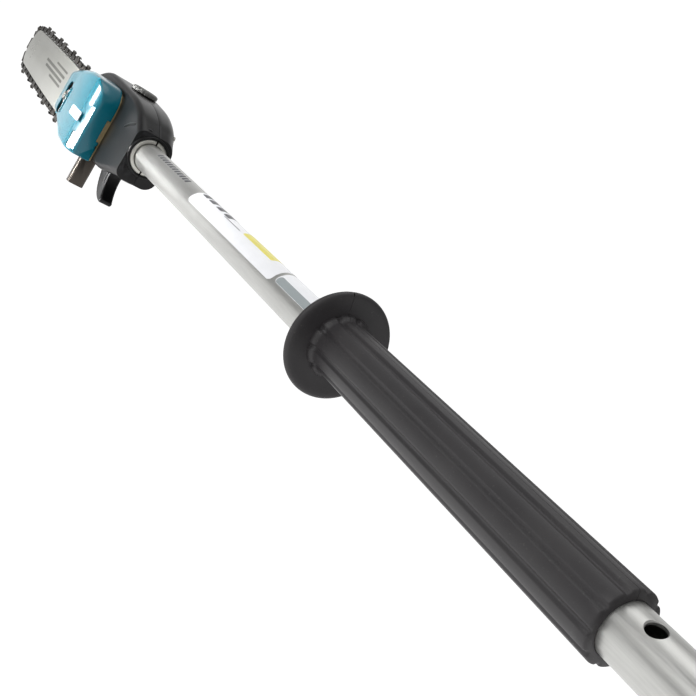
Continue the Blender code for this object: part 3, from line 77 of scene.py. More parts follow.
OUT_X, _, OUT_Z = joint("output_spin")["pos_m"]
NOSE = Vector(joint("nose_spin")["pos_m"])
BAR_AXIS = Vector(joint("bar_adjust")["axis"])
BAR_TILT = math.atan2(BAR_AXIS.z, BAR_AXIS.x)
BAR_LOW, BAR_HIGH = low_high("guide_bar")
BAR_Y = (BAR_LOW.y + BAR_HIGH.y) / 2
BAR_FRAME = (Matrix.Translation((OUT_X, 0, OUT_Z))
             @ Matrix.Rotation(-BAR_TILT, 4, 'Y'))
PIPE_LOW, PIPE_HIGH = low_high("main_pipe")
PIPE_R = PIPE_HIGH.z
GRIP_LOW, GRIP_HIGH = low_high("hand_grip")
PAD_Y = low_high("housing_left")[1].y
COVER_LOW, _ = low_high("sprocket_cover")
CAP_LOW, CAP_HIGH = low_high("oil_cap")
STOP_LOW, STOP_HIGH = low_high("branch_stop")
NUT_LOW, NUT_HIGH = low_high("bar_nut")
CASE_LOW, _ = low_high("gear_case")
ALONG_X = Matrix.Rotation(PI / 2, 4, 'Y')
ALONG_Y = Matrix.Rotation(-PI / 2, 4, 'X')
ALONG_Z = Matrix.Identity(4)
QUARTER = PI / 2


# ---- mesh helpers ------------------------------------------------------------
def mesh_of(bm, name="mesh"):
    bmesh.ops.recalc_face_normals(bm, faces=bm.faces)
    mesh = bpy.data.meshes.new(name)
    bm.to_mesh(mesh)
    bm.free()
    return mesh


def new_object(name, data):
    obj = bpy.data.objects.new(name, data)
    bpy.context.scene.collection.objects.link(obj)
    return obj


def modify(mesh, *steps):
    """Run (type, settings) modifiers on a mesh and return the resulting mesh."""
    obj = new_object("helper", mesh)
    others = []
    for kind, settings in steps:
        mod = obj.modifiers.new(kind, kind)
        for key, value in settings.items():
            if key == "mesh":
                other = new_object("helper", value)
                others.append(other)
                mod.object = other
            else:
                setattr(mod, key, value)
        if kind == 'BOOLEAN':
            mod.solver = 'EXACT'
    bpy.context.view_layer.update()
    graph = bpy.context.evaluated_depsgraph_get()
    out = bpy.data.meshes.new_from_object(obj.evaluated_get(graph))
    for item in [obj] + others:
        bpy.data.objects.remove(item, do_unlink=True)
    return out


def across(x, z):
    """Takes local +Z to +Y, at a point of the XZ plane."""
    return Matrix.Translation((x, 0, z)) @ ALONG_Y


def columns(x, y, z, place):
    """The matrix that has these axes and this origin."""
    return Matrix([(*x, 0), (*y, 0), (*z, 0), (*place, 1)]).transposed()


def placed(mesh, matrix):
    mesh = mesh.copy()
    mesh.transform(matrix)
    return mesh


def cut(mesh, tool, matrix=ALONG_Z):
    return modify(mesh, ('BOOLEAN', {"operation": 'DIFFERENCE', "mesh": placed(tool, matrix)}))


def fuse(mesh, tool, matrix=ALONG_Z):
    return modify(mesh, ('BOOLEAN', {"operation": 'UNION', "mesh": placed(tool, matrix)}))


def bevelled(mesh, width, segments=2, angle=35):
    return modify(mesh, ('BEVEL', {"width": width, "segments": segments,
                                   "limit_method": 'ANGLE', "angle_limit": math.radians(angle),
                                   "use_clamp_overlap": True}))


def joined(meshes):
    bm = bmesh.new()
    for mesh in meshes:
        bm.from_mesh(mesh)
    mesh = bpy.data.meshes.new("joined")
    bm.to_mesh(mesh)
    bm.free()
    return mesh


def skin(rings, caps=True):
    """A tube of quads through rings that have the same number of points."""
    bm = bmesh.new()
    rows = [[bm.verts.new(p) for p in ring] for ring in rings]
    count = len(rows[0])
    for near, far in zip(rows, rows[1:]):
        for i in range(count):
            j = (i + 1) % count
            bm.faces.new((near[i], near[j], far[j], far[i]))
    if caps:
        bm.faces.new(rows[0])
        bm.faces.new(list(reversed(rows[-1])))
    return mesh_of(bm)


def turned(profile, segments=64, loop=False):
    """Revolve (radius, height) points about local Z; an end at radius 0 closes there."""
    bm = bmesh.new()
    rows = []
    for radius, height in profile:
        if radius < 1e-9:
            rows.append([bm.verts.new((0, 0, height))] * segments)
        else:
            rows.append([bm.verts.new((radius * math.cos(TAU * i / segments),
                                       radius * math.sin(TAU * i / segments), height))
                         for i in range(segments)])
    pairs = list(zip(rows, rows[1:]))
    if loop:
        pairs.append((rows[-1], rows[0]))
    for near, far in pairs:
        for i in range(segments):
            j = (i + 1) % segments
            corners = []
            for v in (near[i], near[j], far[j], far[i]):
                if v not in corners:
                    corners.append(v)
            if len(corners) > 2:
                bm.faces.new(corners)
    return mesh_of(bm)


def prism(outline, low, high):
    """An (x, z) outline pushed along Y."""
    return skin([[(x, low, z) for x, z in outline], [(x, high, z) for x, z in outline]])


def block(low, high):
    outline = [(low[0], low[2]), (high[0], low[2]), (high[0], high[2]), (low[0], high[2])]
    return prism(outline, low[1], high[1])


def rod(radius, start, end, segments=32):
    return turned([(0, start), (radius, start), (radius, end), (0, end)], segments)


def arc(centre, radius, start, end, steps):
    return [(centre[0] + radius * math.cos(start + (end - start) * i / steps),
             centre[1] + radius * math.sin(start + (end - start) * i / steps))
            for i in range(steps + 1)]


def rounded_box(x0, x1, z0, z1, radius, steps=8):
    return (arc((x1 - radius, z0 + radius), radius, -QUARTER, 0, steps)
            + arc((x1 - radius, z1 - radius), radius, 0, QUARTER, steps)
            + arc((x0 + radius, z1 - radius), radius, QUARTER, PI, steps)
            + arc((x0 + radius, z0 + radius), radius, PI, PI * 1.5, steps))


def spline(rows, count):
    """Catmull-Rom through rows of numbers, evenly by row."""
    out = []
    last = len(rows) - 1
    for k in range(count):
        t = last * k / (count - 1)
        i = min(int(t), last - 1)
        f = t - i
        p0, p1, p2, p3 = (rows[max(i - 1, 0)], rows[i], rows[i + 1], rows[min(i + 2, last)])
        out.append(tuple(0.5 * (2 * b + (c - a) * f + (2 * a - 5 * b + 4 * c - d) * f * f
                                + (3 * b - a - 3 * c + d) * f ** 3)
                         for a, b, c, d in zip(p0, p1, p2, p3)))
    return out


def bead(points, radius, taper=0.25, sides=10, count=24):
    """A round bead along a curve, thinner at both ends."""
    path = [Vector(p) for p in spline(points, count)]
    rings = []
    for i, p in enumerate(path):
        ahead = (path[min(i + 1, count - 1)] - path[max(i - 1, 0)]).normalized()
        side = ahead.cross(Vector((0.3, 0.5, 0.81))).normalized()
        up = side.cross(ahead)
        share = i / (count - 1)
        r = radius * (taper + (1 - taper) * math.sin(PI * share) ** 0.5)
        rings.append([p + (side * math.cos(TAU * k / sides) + up * math.sin(TAU * k / sides)) * r
                      for k in range(sides)])
    return skin(rings)


def shade(mesh, angle=32):
    for face in mesh.polygons:
        face.use_smooth = True
    mesh.set_sharp_from_angle(angle=math.radians(angle))
    return mesh


def piece(name, mesh, material, body, replaces=(), angle=32):
    mesh = shade(mesh, angle)
    mesh.name = name
    mesh.materials.clear()
    mesh.materials.append(MATERIAL[material])
    obj = new_object(name, mesh)
    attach(obj, body)
    if replaces:
        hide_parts(*replaces)
    return obj


# ---- materials ---------------------------------------------------------------
def linear(*srgb):
    out = []
    for value in srgb:
        c = value / 255
        out.append(c / 12.92 if c <= 0.04045 else ((c + 0.055) / 1.055) ** 2.4)
    return (*out, 1.0)


class Nodes:
    """A small wrapper that adds and links shader nodes."""

    def __init__(self, name):
        self.material = bpy.data.materials.new(name)
        self.material.use_nodes = True
        self.tree = self.material.node_tree
        self.shader = self.tree.nodes["Principled BSDF"]
        self.coords = self.add("ShaderNodeTexCoord").outputs["Object"]

    def add(self, kind, inputs=None, **settings):
        node = self.tree.nodes.new(kind)
        for key, value in settings.items():
            setattr(node, key, value)
        for key, value in (inputs or {}).items():
            if isinstance(value, bpy.types.NodeSocket):
                self.tree.links.new(value, node.inputs[key])
            else:
                node.inputs[key].default_value = value
        return node

    def scaled(self, scale, turn=(0, 0, 0)):
        node = self.add("ShaderNodeMapping", {"Vector": self.coords, "Scale": scale,
                                              "Rotation": turn})
        return node.outputs["Vector"]

    def noise(self, scale, detail=4, stretch=(1, 1, 1), rough=0.55):
        node = self.add("ShaderNodeTexNoise", {"Vector": self.scaled(stretch), "Scale": scale,
                                               "Detail": detail, "Roughness": rough})
        return node.outputs["Fac"]

    def ramp(self, value, stops):
        node = self.add("ShaderNodeValToRGB", {"Fac": value})
        ramp = node.color_ramp
        while len(ramp.elements) < len(stops):
            ramp.elements.new(0.5)
        for element, (place, colour) in zip(ramp.elements, stops):
            element.position = place
            element.color = colour
        return node.outputs["Color"]

    def span(self, value, low, high, out_low, out_high):
        node = self.add("ShaderNodeMapRange", {"Value": value, "From Min": low,
                                               "From Max": high, "To Min": out_low,
                                               "To Max": out_high})
        return node.outputs["Result"]

    def mix(self, factor, first, second, blend='MIX'):
        node = self.add("ShaderNodeMix", data_type='RGBA', blend_type=blend)
        for socket, value in ((node.inputs[0], factor), (node.inputs[6], first),
                              (node.inputs[7], second)):
            if isinstance(value, bpy.types.NodeSocket):
                self.tree.links.new(value, socket)
            else:
                socket.default_value = value
        return node.outputs[2]

    def math(self, operation, first, second=0.0):
        node = self.add("ShaderNodeMath", {0: first, 1: second}, operation=operation)
        return node.outputs[0]

    def bump(self, height, strength, distance, normal=None):
        inputs = {"Height": height, "Strength": strength, "Distance": distance}
        if normal is not None:
            inputs["Normal"] = normal
        return self.add("ShaderNodeBump", inputs).outputs["Normal"]

    def edges(self, width=2.5):
        """Bright where the surface turns outwards sharply, dark elsewhere."""
        point = self.add("ShaderNodeNewGeometry").outputs["Pointiness"]
        return self.span(point, 0.50 + 0.01 * width, 0.50 + 0.03 * width, 0, 1)

    def out(self, **sockets):
        names = {"colour": "Base Color", "rough": "Roughness", "metal": "Metallic",
                 "normal": "Normal", "coat": "Coat Weight", "coat_rough": "Coat Roughness",
                 "specular": "Specular IOR Level", "aniso": "Anisotropic", "ior": "IOR"}
        for key, value in sockets.items():
            socket = self.shader.inputs[names[key]]
            if isinstance(value, bpy.types.NodeSocket):
                self.tree.links.new(value, socket)
            else:
                socket.default_value = value
        return self.material


def brushed_metal(name, colour, rough, stretch, grain=900, metal=1.0, depth=0.02, spots=0.12):
    """Metal with fine lines along one axis and faint cloudy variation."""
    n = Nodes(name)
    lines = n.noise(grain, 3, stretch)
    cloud = n.noise(22, 5)
    dark = tuple(c * 0.86 for c in colour[:3]) + (1.0,)
    shade_in = n.mix(n.span(lines, 0.3, 0.7, 0, 1), dark, colour)
    tint = n.mix(n.span(cloud, 0.35, 0.75, 0, spots), shade_in,
                 tuple(c * 0.55 for c in colour[:3]) + (1.0,))
    roughness = n.math('ADD', n.span(lines, 0.3, 0.7, -0.05, 0.06),
                       n.span(cloud, 0.3, 0.7, rough - 0.03, rough + 0.05))
    return n.out(colour=tint, rough=roughness, metal=metal,
                 normal=n.bump(lines, 0.25, depth * MM))


def plastic(name, colour, rough, grain=1400, depth=0.03, wear=None, cloud=0.15, coat=0.0,
            specular=0.5):
    """Moulded plastic: fine leathery grain, slight tone changes, rubbed edges."""
    n = Nodes(name)
    fine = n.noise(grain, 4)
    broad = n.noise(18, 4)
    light = tuple(min(c * (1 + cloud), 1) for c in colour[:3]) + (1.0,)
    dark = tuple(c * (1 - cloud) for c in colour[:3]) + (1.0,)
    base = n.mix(n.span(broad, 0.3, 0.7, 0, 1), dark, light)
    if wear:
        rubbed = n.math('MULTIPLY', n.edges(), n.span(n.noise(160, 5), 0.45, 0.6, 0, 0.7))
        base = n.mix(rubbed, base, wear)
    roughness = n.math('ADD', n.span(fine, 0.3, 0.7, -0.03, 0.04),
                       n.span(broad, 0.3, 0.7, rough - 0.03, rough + 0.04))
    return n.out(colour=base, rough=roughness, normal=n.bump(fine, 0.35, depth * MM),
                 coat=coat, specular=specular, coat_rough=0.08)


def make_materials():
    m = {}
    m["tube"] = brushed_metal("tube_satin", linear(188, 188, 185), 0.36, (0.05, 1, 1), 1100,
                              0.90, 0.008, 0.03)
    m["collar"] = brushed_metal("collar_cast", linear(190, 189, 182), 0.40, (1, 1, 1), 700)
    m["cast"] = brushed_metal("cast_case", linear(160, 160, 156), 0.52, (1, 1, 1), 420, 1.0, 0.08)
    m["housing"] = plastic("housing_black", linear(9, 9, 10), 0.32, 1500, 0.020,
                           linear(34, 35, 37), specular=0.24)
    m["cap"] = plastic("cap_dark_grey", linear(90, 90, 88), 0.48, 1200, 0.04, linear(100, 100, 98),
                       specular=0.35)
    m["cover"] = plastic("cover_teal", linear(0, 92, 108), 0.22, 420, 0.003, None, 0.05, 0.30,
                         specular=0.45)
    # painted shade: this dark colour stands in for the shade inside the cover's nut pocket, whose
    # own plastic is the cover's teal
    m["pocket"] = plastic("pocket_painted_shade", linear(22, 26, 28), 0.40, 700, 0.02, specular=0.3)
    m["seal"] = plastic("seal_rubber", linear(28, 28, 28), 0.65, 900, 0.02)
    m["hose"] = plastic("hose_rubber", linear(34, 34, 36), 0.5, 700, 0.02)
    m["tank"] = plastic("tank_smoke", linear(70, 70, 72), 0.36, 500, 0.02)
    m["bush"] = plastic("bush_nylon", linear(206, 202, 188), 0.5, 600, 0.02)
    m["bar"] = brushed_metal("bar_ground", linear(190, 190, 184), 0.36, (0.05, 1, 1), 1300,
                             0.80, 0.010, 0.06)
    m["chain"] = brushed_metal("chain_dark", linear(52, 49, 45), 0.42, (1, 1, 1), 600, 0.85,
                               0.03, 0.35)
    m["cutter"] = brushed_metal("cutter_chrome", linear(70, 66, 61), 0.32, (1, 1, 1), 500, 0.95,
                                0.02, 0.30)
    m["gear"] = brushed_metal("gear_steel", linear(160, 160, 162), 0.34, (1, 1, 1), 800)
    m["zinc"] = brushed_metal("zinc_plate", linear(206, 204, 198), 0.24, (1, 1, 1), 500, 1.0, 0.01)
    m["plate"] = brushed_metal("plate_passivated", linear(176, 158, 120), 0.38, (1, 1, 0.2), 900,
                               0.85, 0.02, 0.2)
    m["stop"] = brushed_metal("stop_steel", linear(72, 67, 62), 0.40, (1, 1, 0.08), 1000,
                              0.85, 0.03, 0.45)
    m["grip"] = grip_rubber()
    m["label"] = label_stock("label_white", linear(240, 241, 244), 0.34)
    m["label_grey"] = label_stock("label_grey", linear(150, 158, 160), 0.32)
    m["ink"] = label_stock("label_ink", linear(46, 48, 54), 0.45)
    m["label_yellow"] = label_stock("label_yellow", linear(228, 216, 70), 0.4)
    m["etch"] = label_stock("bar_etch", linear(84, 84, 78), 0.5)
    return m


def grip_rubber():
    n = Nodes("grip_rubber")
    fine = n.noise(2600, 3)
    broad = n.noise(30, 5)
    base = n.mix(n.span(broad, 0.3, 0.7, 0, 1), linear(40, 38, 40), linear(50, 48, 49))
    dust = n.span(n.noise(700, 2), 0.66, 0.74, 0, 0.35)
    base = n.mix(dust, base, linear(80, 79, 76))
    skin_bump = n.bump(fine, 0.4, 0.05 * MM)
    return n.out(colour=base, rough=n.span(broad, 0.3, 0.7, 0.46, 0.54), normal=skin_bump,
                 specular=0.38)


def label_stock(name, colour, rough):
    n = Nodes(name)
    broad = n.noise(60, 3)
    dark = tuple(c * 0.94 for c in colour[:3]) + (1.0,)
    return n.out(colour=n.mix(n.span(broad, 0.3, 0.7, 0, 1), dark, colour),
                 rough=n.span(n.noise(400, 2), 0.3, 0.7, rough - 0.04, rough + 0.05),
                 normal=n.bump(broad, 0.1, 0.02 * MM), coat=0.3, coat_rough=0.15)


MATERIAL = make_materials()


# ---- pole --------------------------------------------------------------------
PIPE_WALL = 1.6 * MM
LOCK_X = 54.5 * MM
LOCK_ANGLE = math.radians(56)


def about_pole(angle, x=0.0):
    """Takes local +Z outwards from the pole, at an angle from +Y towards +Z."""
    return Matrix.Translation((x, 0, 0)) @ Matrix.Rotation(angle - PI / 2, 4, 'X')


def make_pole():
    outer, inner = PIPE_R, PIPE_R - PIPE_WALL
    x0, x1 = PIPE_LOW.x, PIPE_HIGH.x
    edge = 0.3 * MM
    stations = [x0 + edge + (x1 - x0 - 2 * edge) * i / 60 for i in range(61)]
    profile = [(outer - edge, x0)] + [(outer, x) for x in stations] + [(outer - edge, x1)]
    profile += [(inner + edge, x1), (inner, x1 - edge), (inner, x0 + edge), (inner + edge, x0)]
    mesh = placed(turned(profile, 96, True), ALONG_X)
    hole = turned([(0, inner - 3 * MM), (4.25 * MM, inner - 3 * MM), (4.25 * MM, outer - 0.7 * MM),
                   (5.2 * MM, outer + 0.4 * MM), (5.2 * MM, outer + 4 * MM),
                   (0, outer + 4 * MM)], 40)
    mesh = cut(mesh, hole, about_pole(LOCK_ANGLE, LOCK_X))
    piece("pole_tube", mesh, "tube", "pole", ("main_pipe",), 30)


LABEL_THICK = 0.12 * MM
LABEL_SINK = 0.05 * MM
LABEL_COLUMNS, LABEL_ROWS = 28, 12


def wrap(name, x0, x1, a0, a1, lift, material, corner, thick):
    """A thin sticker on the pole, with round corners."""
    surface = PIPE_R + lift
    width = (a1 - a0) * PIPE_R
    outline = rounded_box(0, x1 - x0, 0, width, min(corner, width / 2.01), 10)
    bm = bmesh.new()
    rows = []
    for k in range(LABEL_COLUMNS + 1):
        z = width * k / LABEL_COLUMNS
        z = min(max(z, 1e-6), width - 1e-6)
        xs = crossings(outline, z)
        rows.append((z, min(xs), max(xs)))
    for side in (0, 1):
        r = surface + (thick if side else -LABEL_SINK)
        grid = []
        for z, left, right in rows:
            angle = a0 + z / PIPE_R
            grid.append([bm.verts.new((x0 + left + (right - left) * i / LABEL_ROWS,
                                       r * math.cos(angle), r * math.sin(angle)))
                         for i in range(LABEL_ROWS + 1)])
        for near, far in zip(grid, grid[1:]):
            for i in range(LABEL_ROWS):
                bm.faces.new((near[i], near[i + 1], far[i + 1], far[i]))
    half = len(bm.verts) // 2
    bm.verts.index_update()
    bm.verts.ensure_lookup_table()
    low_edges = [e for e in bm.edges if len(e.link_faces) == 1
                 and max(v.index for v in e.verts) < half]
    for e in low_edges:
        a, b = e.verts
        bm.faces.new((a, b, bm.verts[b.index + half], bm.verts[a.index + half]))
    return piece(name, mesh_of(bm), material, "pole", (), 50)


def crossings(outline, z):
    found = []
    for (xa, za), (xb, zb) in zip(outline, outline[1:] + outline[:1]):
        if (za - z) * (zb - z) <= 0 and za != zb:
            found.append(xa + (xb - xa) * (z - za) / (zb - za))
    return found


PRINT_LIFT = 0.14 * MM
PRINT_THICK = 0.05 * MM


def patch(name, x0, x1, a0, a1, material, corner, lift=PRINT_LIFT, thick=PRINT_THICK):
    """A patch from x0 to x1 in millimetres and from a0 to a1 in degrees."""
    wrap(name, x0 * MM, x1 * MM, math.radians(a0), math.radians(a1), lift, material,
         corner * MM, thick)


def make_labels():
    patch("label_long", 402, 574, 9, 188, "label", 4, 0, LABEL_THICK)
    patch("label_short", 346, 398, 20, 150, "label", 3, 0, LABEL_THICK)
    patch("label_grey_field", 347, 397, 21, 46, "label_grey", 2.5)
    patch("label_yellow_field", 424, 478, 60, 150, "label_yellow", 1.5)
    patch("label_rule_a", 484, 516, 59, 61.5, "ink", 0.2)
    for i, (x0, x1) in enumerate(((560, 570), (545, 556), (528, 539), (511, 522))):
        patch(f"label_dash_{i + 1}", x0, x1, 65, 118, "ink", 0.8)
    for i in range(12):
        start = 604 + 7.0 * i
        patch(f"pole_tick_{i + 1}", start, start + 4.6, 50, 74, "ink", 0.9, 0)


# ---- grip --------------------------------------------------------------------
GRIP_R = 17.5 * MM
LOBES = 10
GROOVE_DEPTH = 1.35 * MM
SLIT_ANGLE = math.radians(72)
FLANGE_THICK = 5 * MM


def lobe(angle):
    """0 on a lobe's crown, 1 in the narrow groove beside it."""
    phase = (angle * LOBES / TAU) % 1.0
    away = abs(phase - 0.5) * TAU / LOBES * GRIP_R
    share = min(max((2.3 * MM - away) / (1.9 * MM), 0.0), 1.0)
    groove = share * share * (3 - 2 * share)
    crown = 1 - abs(phase - 0.5) * 2
    return 0.78 * groove + 0.22 * crown ** 2


def grip_ring(x, radius, depth, count=360):
    points = []
    for i in range(count):
        angle = TAU * i / count
        r = radius - depth * lobe(angle)
        points.append((x, r * math.cos(angle), r * math.sin(angle)))
    return points


def make_grip():
    x0 = GRIP_LOW.x
    x1 = GRIP_HIGH.x
    flange_x = x1 - FLANGE_THICK
    rings = [grip_ring(x0, GRIP_R - 0.9 * MM, GROOVE_DEPTH),
             grip_ring(x0 + 0.3 * MM, GRIP_R - 0.35 * MM, GROOVE_DEPTH),
             grip_ring(x0 + 1.0 * MM, GRIP_R, GROOVE_DEPTH)]
    for i in range(1, 40):
        rings.append(grip_ring(x0 + 1 * MM + (flange_x - x0 - 14 * MM) * i / 40, GRIP_R,
                               GROOVE_DEPTH))
    for back, grow in ((13, 0), (8, 0.05), (5, 0.2), (3.4, 0.5), (2.6, 1.1), (1.9, 1.7), (1.1, 2.1),
                       (0.3, 2.3)):
        rings.append(grip_ring(flange_x - back * MM, GRIP_R + grow * MM,
                               GROOVE_DEPTH * (1 + 0.15 * grow)))
    rings.append(grip_ring(flange_x + 1 * MM, GRIP_R + 2.4 * MM, GROOVE_DEPTH))
    body = skin(rings)
    rim = GRIP_HIGH.z
    t = FLANGE_THICK
    round_rim = arc((rim - 2.3 * MM, flange_x + t / 2), 2.3 * MM, -PI / 2, PI / 2, 14)
    profile = [(0, flange_x + 0.6 * MM), (rim - 7 * MM, flange_x + 0.6 * MM),
               (rim - 4.6 * MM, flange_x + 0.25 * MM)]
    profile += round_rim
    profile += [(rim - 4.6 * MM, x1 - 0.25 * MM), (rim - 7 * MM, x1 - 0.6 * MM), (0, x1 - 0.6 * MM)]
    mesh = fuse(body, placed(turned(profile, 144), ALONG_X))
    mesh = cut(mesh, rod(PIPE_R + 0.25 * MM, x0 - 2 * MM, x1 + 2 * MM, 96), ALONG_X)
    slit = block((x0 - MM, -0.09 * MM, PIPE_R - 2 * MM), (x1 + MM, 0.09 * MM, rim + 2 * MM))
    mesh = cut(mesh, slit, about_pole(SLIT_ANGLE))
    notch = block((flange_x - MM, -0.4 * MM, rim - 1.6 * MM), (x1 + MM, 0.4 * MM, rim + 2 * MM))
    mesh = cut(mesh, notch, about_pole(SLIT_ANGLE))
    piece("grip_sleeve", mesh, "grip", "pole", ("hand_grip",), 38)


# ---- housing -----------------------------------------------------------------
# x, right y, bottom z, top z, right corner radius, left corner radius (millimetres)
HOUSING_ROWS = (
    (722.5, -18.5, -28.0, 20.5, 12.0, 8.0), (733.0, -19.5, -29.0, 26.0, 12.0, 7.0),
    (748.0, -21.5, -31.0, 32.5, 11.5, 6.0), (775.0, -23.0, -35.5, 38.5, 11.0, 5.0),
    (810.0, -24.0, -36.0, 41.0, 11.0, 4.5), (862.0, -24.0, -36.0, 42.5, 11.0, 4.0),
    (884.0, -22.0, -35.0, 41.0, 11.0, 4.0), (902.0, -12.0, -32.0, 36.0, 8.0, 4.0),
    (918.0, -2.0, -27.0, 28.0, 6.0, 3.0))
SHELL_WALL = 2.4 * MM
SHELL_SEAM = 0.2 * MM
SCREW_POSTS = ((743.0, 23.5), (776.0, -28.0), (868.0, -26.5), (884.0, 19.0))


def housing_ring(row, inset, steps=8):
    x, right, bottom, top, right_r, left_r = (v * MM for v in row)
    left = PAD_Y - inset
    right, bottom, top = right + inset, bottom + inset, top - inset
    right_r, left_r = max(right_r - inset, MM), max(left_r - inset, MM)
    corners = ((left - left_r, top - left_r, left_r, 0),
               (right + right_r, top - right_r, right_r, QUARTER),
               (right + right_r, bottom + right_r, right_r, 2 * QUARTER),
               (left - left_r, bottom + left_r, left_r, 3 * QUARTER))
    points = []
    for y, z, radius, start in corners:
        points += [(x, a, b) for a, b in arc((y, z), radius, start, start + QUARTER, steps)]
    dense = []
    for p, q in zip(points, points[1:] + points[:1]):
        dense.append(p)
        if math.dist(p, q) > 6 * MM:
            dense += [tuple(a + (b - a) * k / 4 for a, b in zip(p, q)) for k in (1, 2, 3)]
    return dense


def even_rows(inset):
    rows = spline(HOUSING_ROWS, 49)
    first, last = rows[0][0] + inset / MM, rows[-1][0] - inset / MM
    kept = [r for r in rows if first + 0.5 < r[0] < last - 0.5]
    ends = []
    for x in (first, last):
        near = min(range(len(rows) - 1), key=lambda i: abs((rows[i][0] + rows[i + 1][0]) / 2 - x))
        a, b = rows[near], rows[near + 1]
        f = (x - a[0]) / (b[0] - a[0])
        ends.append(tuple(p + (q - p) * f for p, q in zip(a, b)))
    return [ends[0]] + kept + [ends[1]]


def housing_mesh(inset):
    counts = {}
    rings = [housing_ring(row, inset) for row in even_rows(inset)]
    for ring in rings:
        counts.setdefault(len(ring), []).append(ring)
    most = max(counts, key=lambda c: len(counts[c]))
    rings = [ring if len(ring) == most else resampled(ring, most) for ring in rings]
    return skin(rings)


def resampled(ring, count):
    """The ring with points added on, or taken from, its longest or shortest edges."""
    ring = list(ring)
    while len(ring) < count:
        i = max(range(len(ring)), key=lambda k: math.dist(ring[k], ring[(k + 1) % len(ring)]))
        j = (i + 1) % len(ring)
        ring.insert(i + 1, tuple((a + b) / 2 for a, b in zip(ring[i], ring[j])))
    while len(ring) > count:
        i = min(range(len(ring)), key=lambda k: math.dist(ring[k - 1], ring[(k + 1) % len(ring)]))
        ring.pop(i)
    return ring


HOOK_X = 752 * MM


def hook_mesh():
    def bez(a, c, b, n):
        return [tuple((1 - t) ** 2 * p + 2 * t * (1 - t) * q + t * t * r
                      for p, q, r in zip(a, c, b)) for t in (k / n for k in range(1, n + 1))]
    rear_top = (HOOK_X, -29 * MM)
    tip_rear = (HOOK_X - 11 * MM, -55 * MM)
    tip_front = (HOOK_X - 6 * MM, -58.8 * MM)
    front_top = (HOOK_X + 30 * MM, -31 * MM)
    outline = [rear_top]
    outline += bez(rear_top, (HOOK_X + 2 * MM, -44 * MM), tip_rear, 14)
    outline += bez(tip_rear, (HOOK_X - 11.5 * MM, -59.2 * MM), tip_front, 8)
    outline += bez(tip_front, (HOOK_X + 16 * MM, -58 * MM), front_top, 16)
    return bevelled(prism(outline, 0.5 * MM, 13 * MM), 2.6 * MM, 5, 50)


def make_housing():
    solid = bevelled(housing_mesh(0), 1.2 * MM, 3, 55)
    inner = housing_mesh(SHELL_WALL)
    collar_r = 16.6 * MM
    face_x = CASE_LOW.x
    lip = [(collar_r + 0.3 * MM, face_x + 2 * MM), (collar_r + 0.3 * MM, face_x - 0.4 * MM)]
    lip += [(r, x) for x, r in
            arc((face_x + 0.4 * MM, collar_r + 1.6 * MM), 1.4 * MM, PI, PI / 2, 8)]
    lip += [(collar_r + 3.4 * MM, face_x + 2.6 * MM)]
    seam = 60 * MM
    for side, name, node in ((1, "shell_left", "housing_left"),
                             (-1, "shell_right", "housing_right")):
        mesh = cut(solid, inner)
        mesh = fuse(mesh, placed(turned(lip, 96, True), ALONG_X))
        if side > 0:
            mesh = fuse(mesh, hook_mesh())
            away = block((700 * MM, -seam, -seam * 2), (960 * MM, SHELL_SEAM, seam * 2))
        else:
            away = block((700 * MM, -SHELL_SEAM, -seam * 2), (960 * MM, seam, seam * 2))
        mesh = cut(mesh, away)
        mesh = cut(mesh, rod(collar_r + 0.3 * MM, face_x - 4 * MM, face_x + 10 * MM, 96), ALONG_X)
        neck = Matrix.Translation((joint("cap_turn")["pos_m"][0], joint("cap_turn")["pos_m"][1], 0))
        mesh = cut(mesh, rod(10.3 * MM, 20 * MM, 60 * MM, 64), neck)
        if side > 0:
            mesh = open_left(mesh)
        else:
            mesh = screw_wells(mesh)
        mesh = bevelled(mesh, 0.35 * MM, 2, 60)
        piece(name, mesh, "housing", "pole", (node,), 28)


def screw_wells(mesh):
    for i, (x, z) in enumerate(SCREW_POSTS):
        head = low_high(f"housing_screw_{i + 1}")[0].y
        well = across(x * MM, z * MM)
        mesh = cut(mesh, rod(3.6 * MM, head - 20 * MM, head + 2.4 * MM, 32), well)
        mesh = cut(mesh, rod(1.9 * MM, head - 20 * MM, 4 * MM, 20), well)
    return mesh


def open_left(mesh):
    """The openings that the cover hides: sprocket, stud and tension pin."""
    low, high = PAD_Y - 5 * MM, PAD_Y + 2 * MM
    mesh = cut(mesh, rod(9.5 * MM, low, high, 48), across(OUT_X, OUT_Z))
    stud = (NUT_LOW + NUT_HIGH) / 2
    mesh = cut(mesh, rod(4.3 * MM, low, high, 32), across(stud.x, stud.z))
    pin_low, pin_high = low_high("tension_pin")
    slot = rounded_box(pin_low.x - 5 * MM, pin_high.x, pin_low.z, pin_high.z, 3 * MM)
    return cut(mesh, prism(slot, low, high))


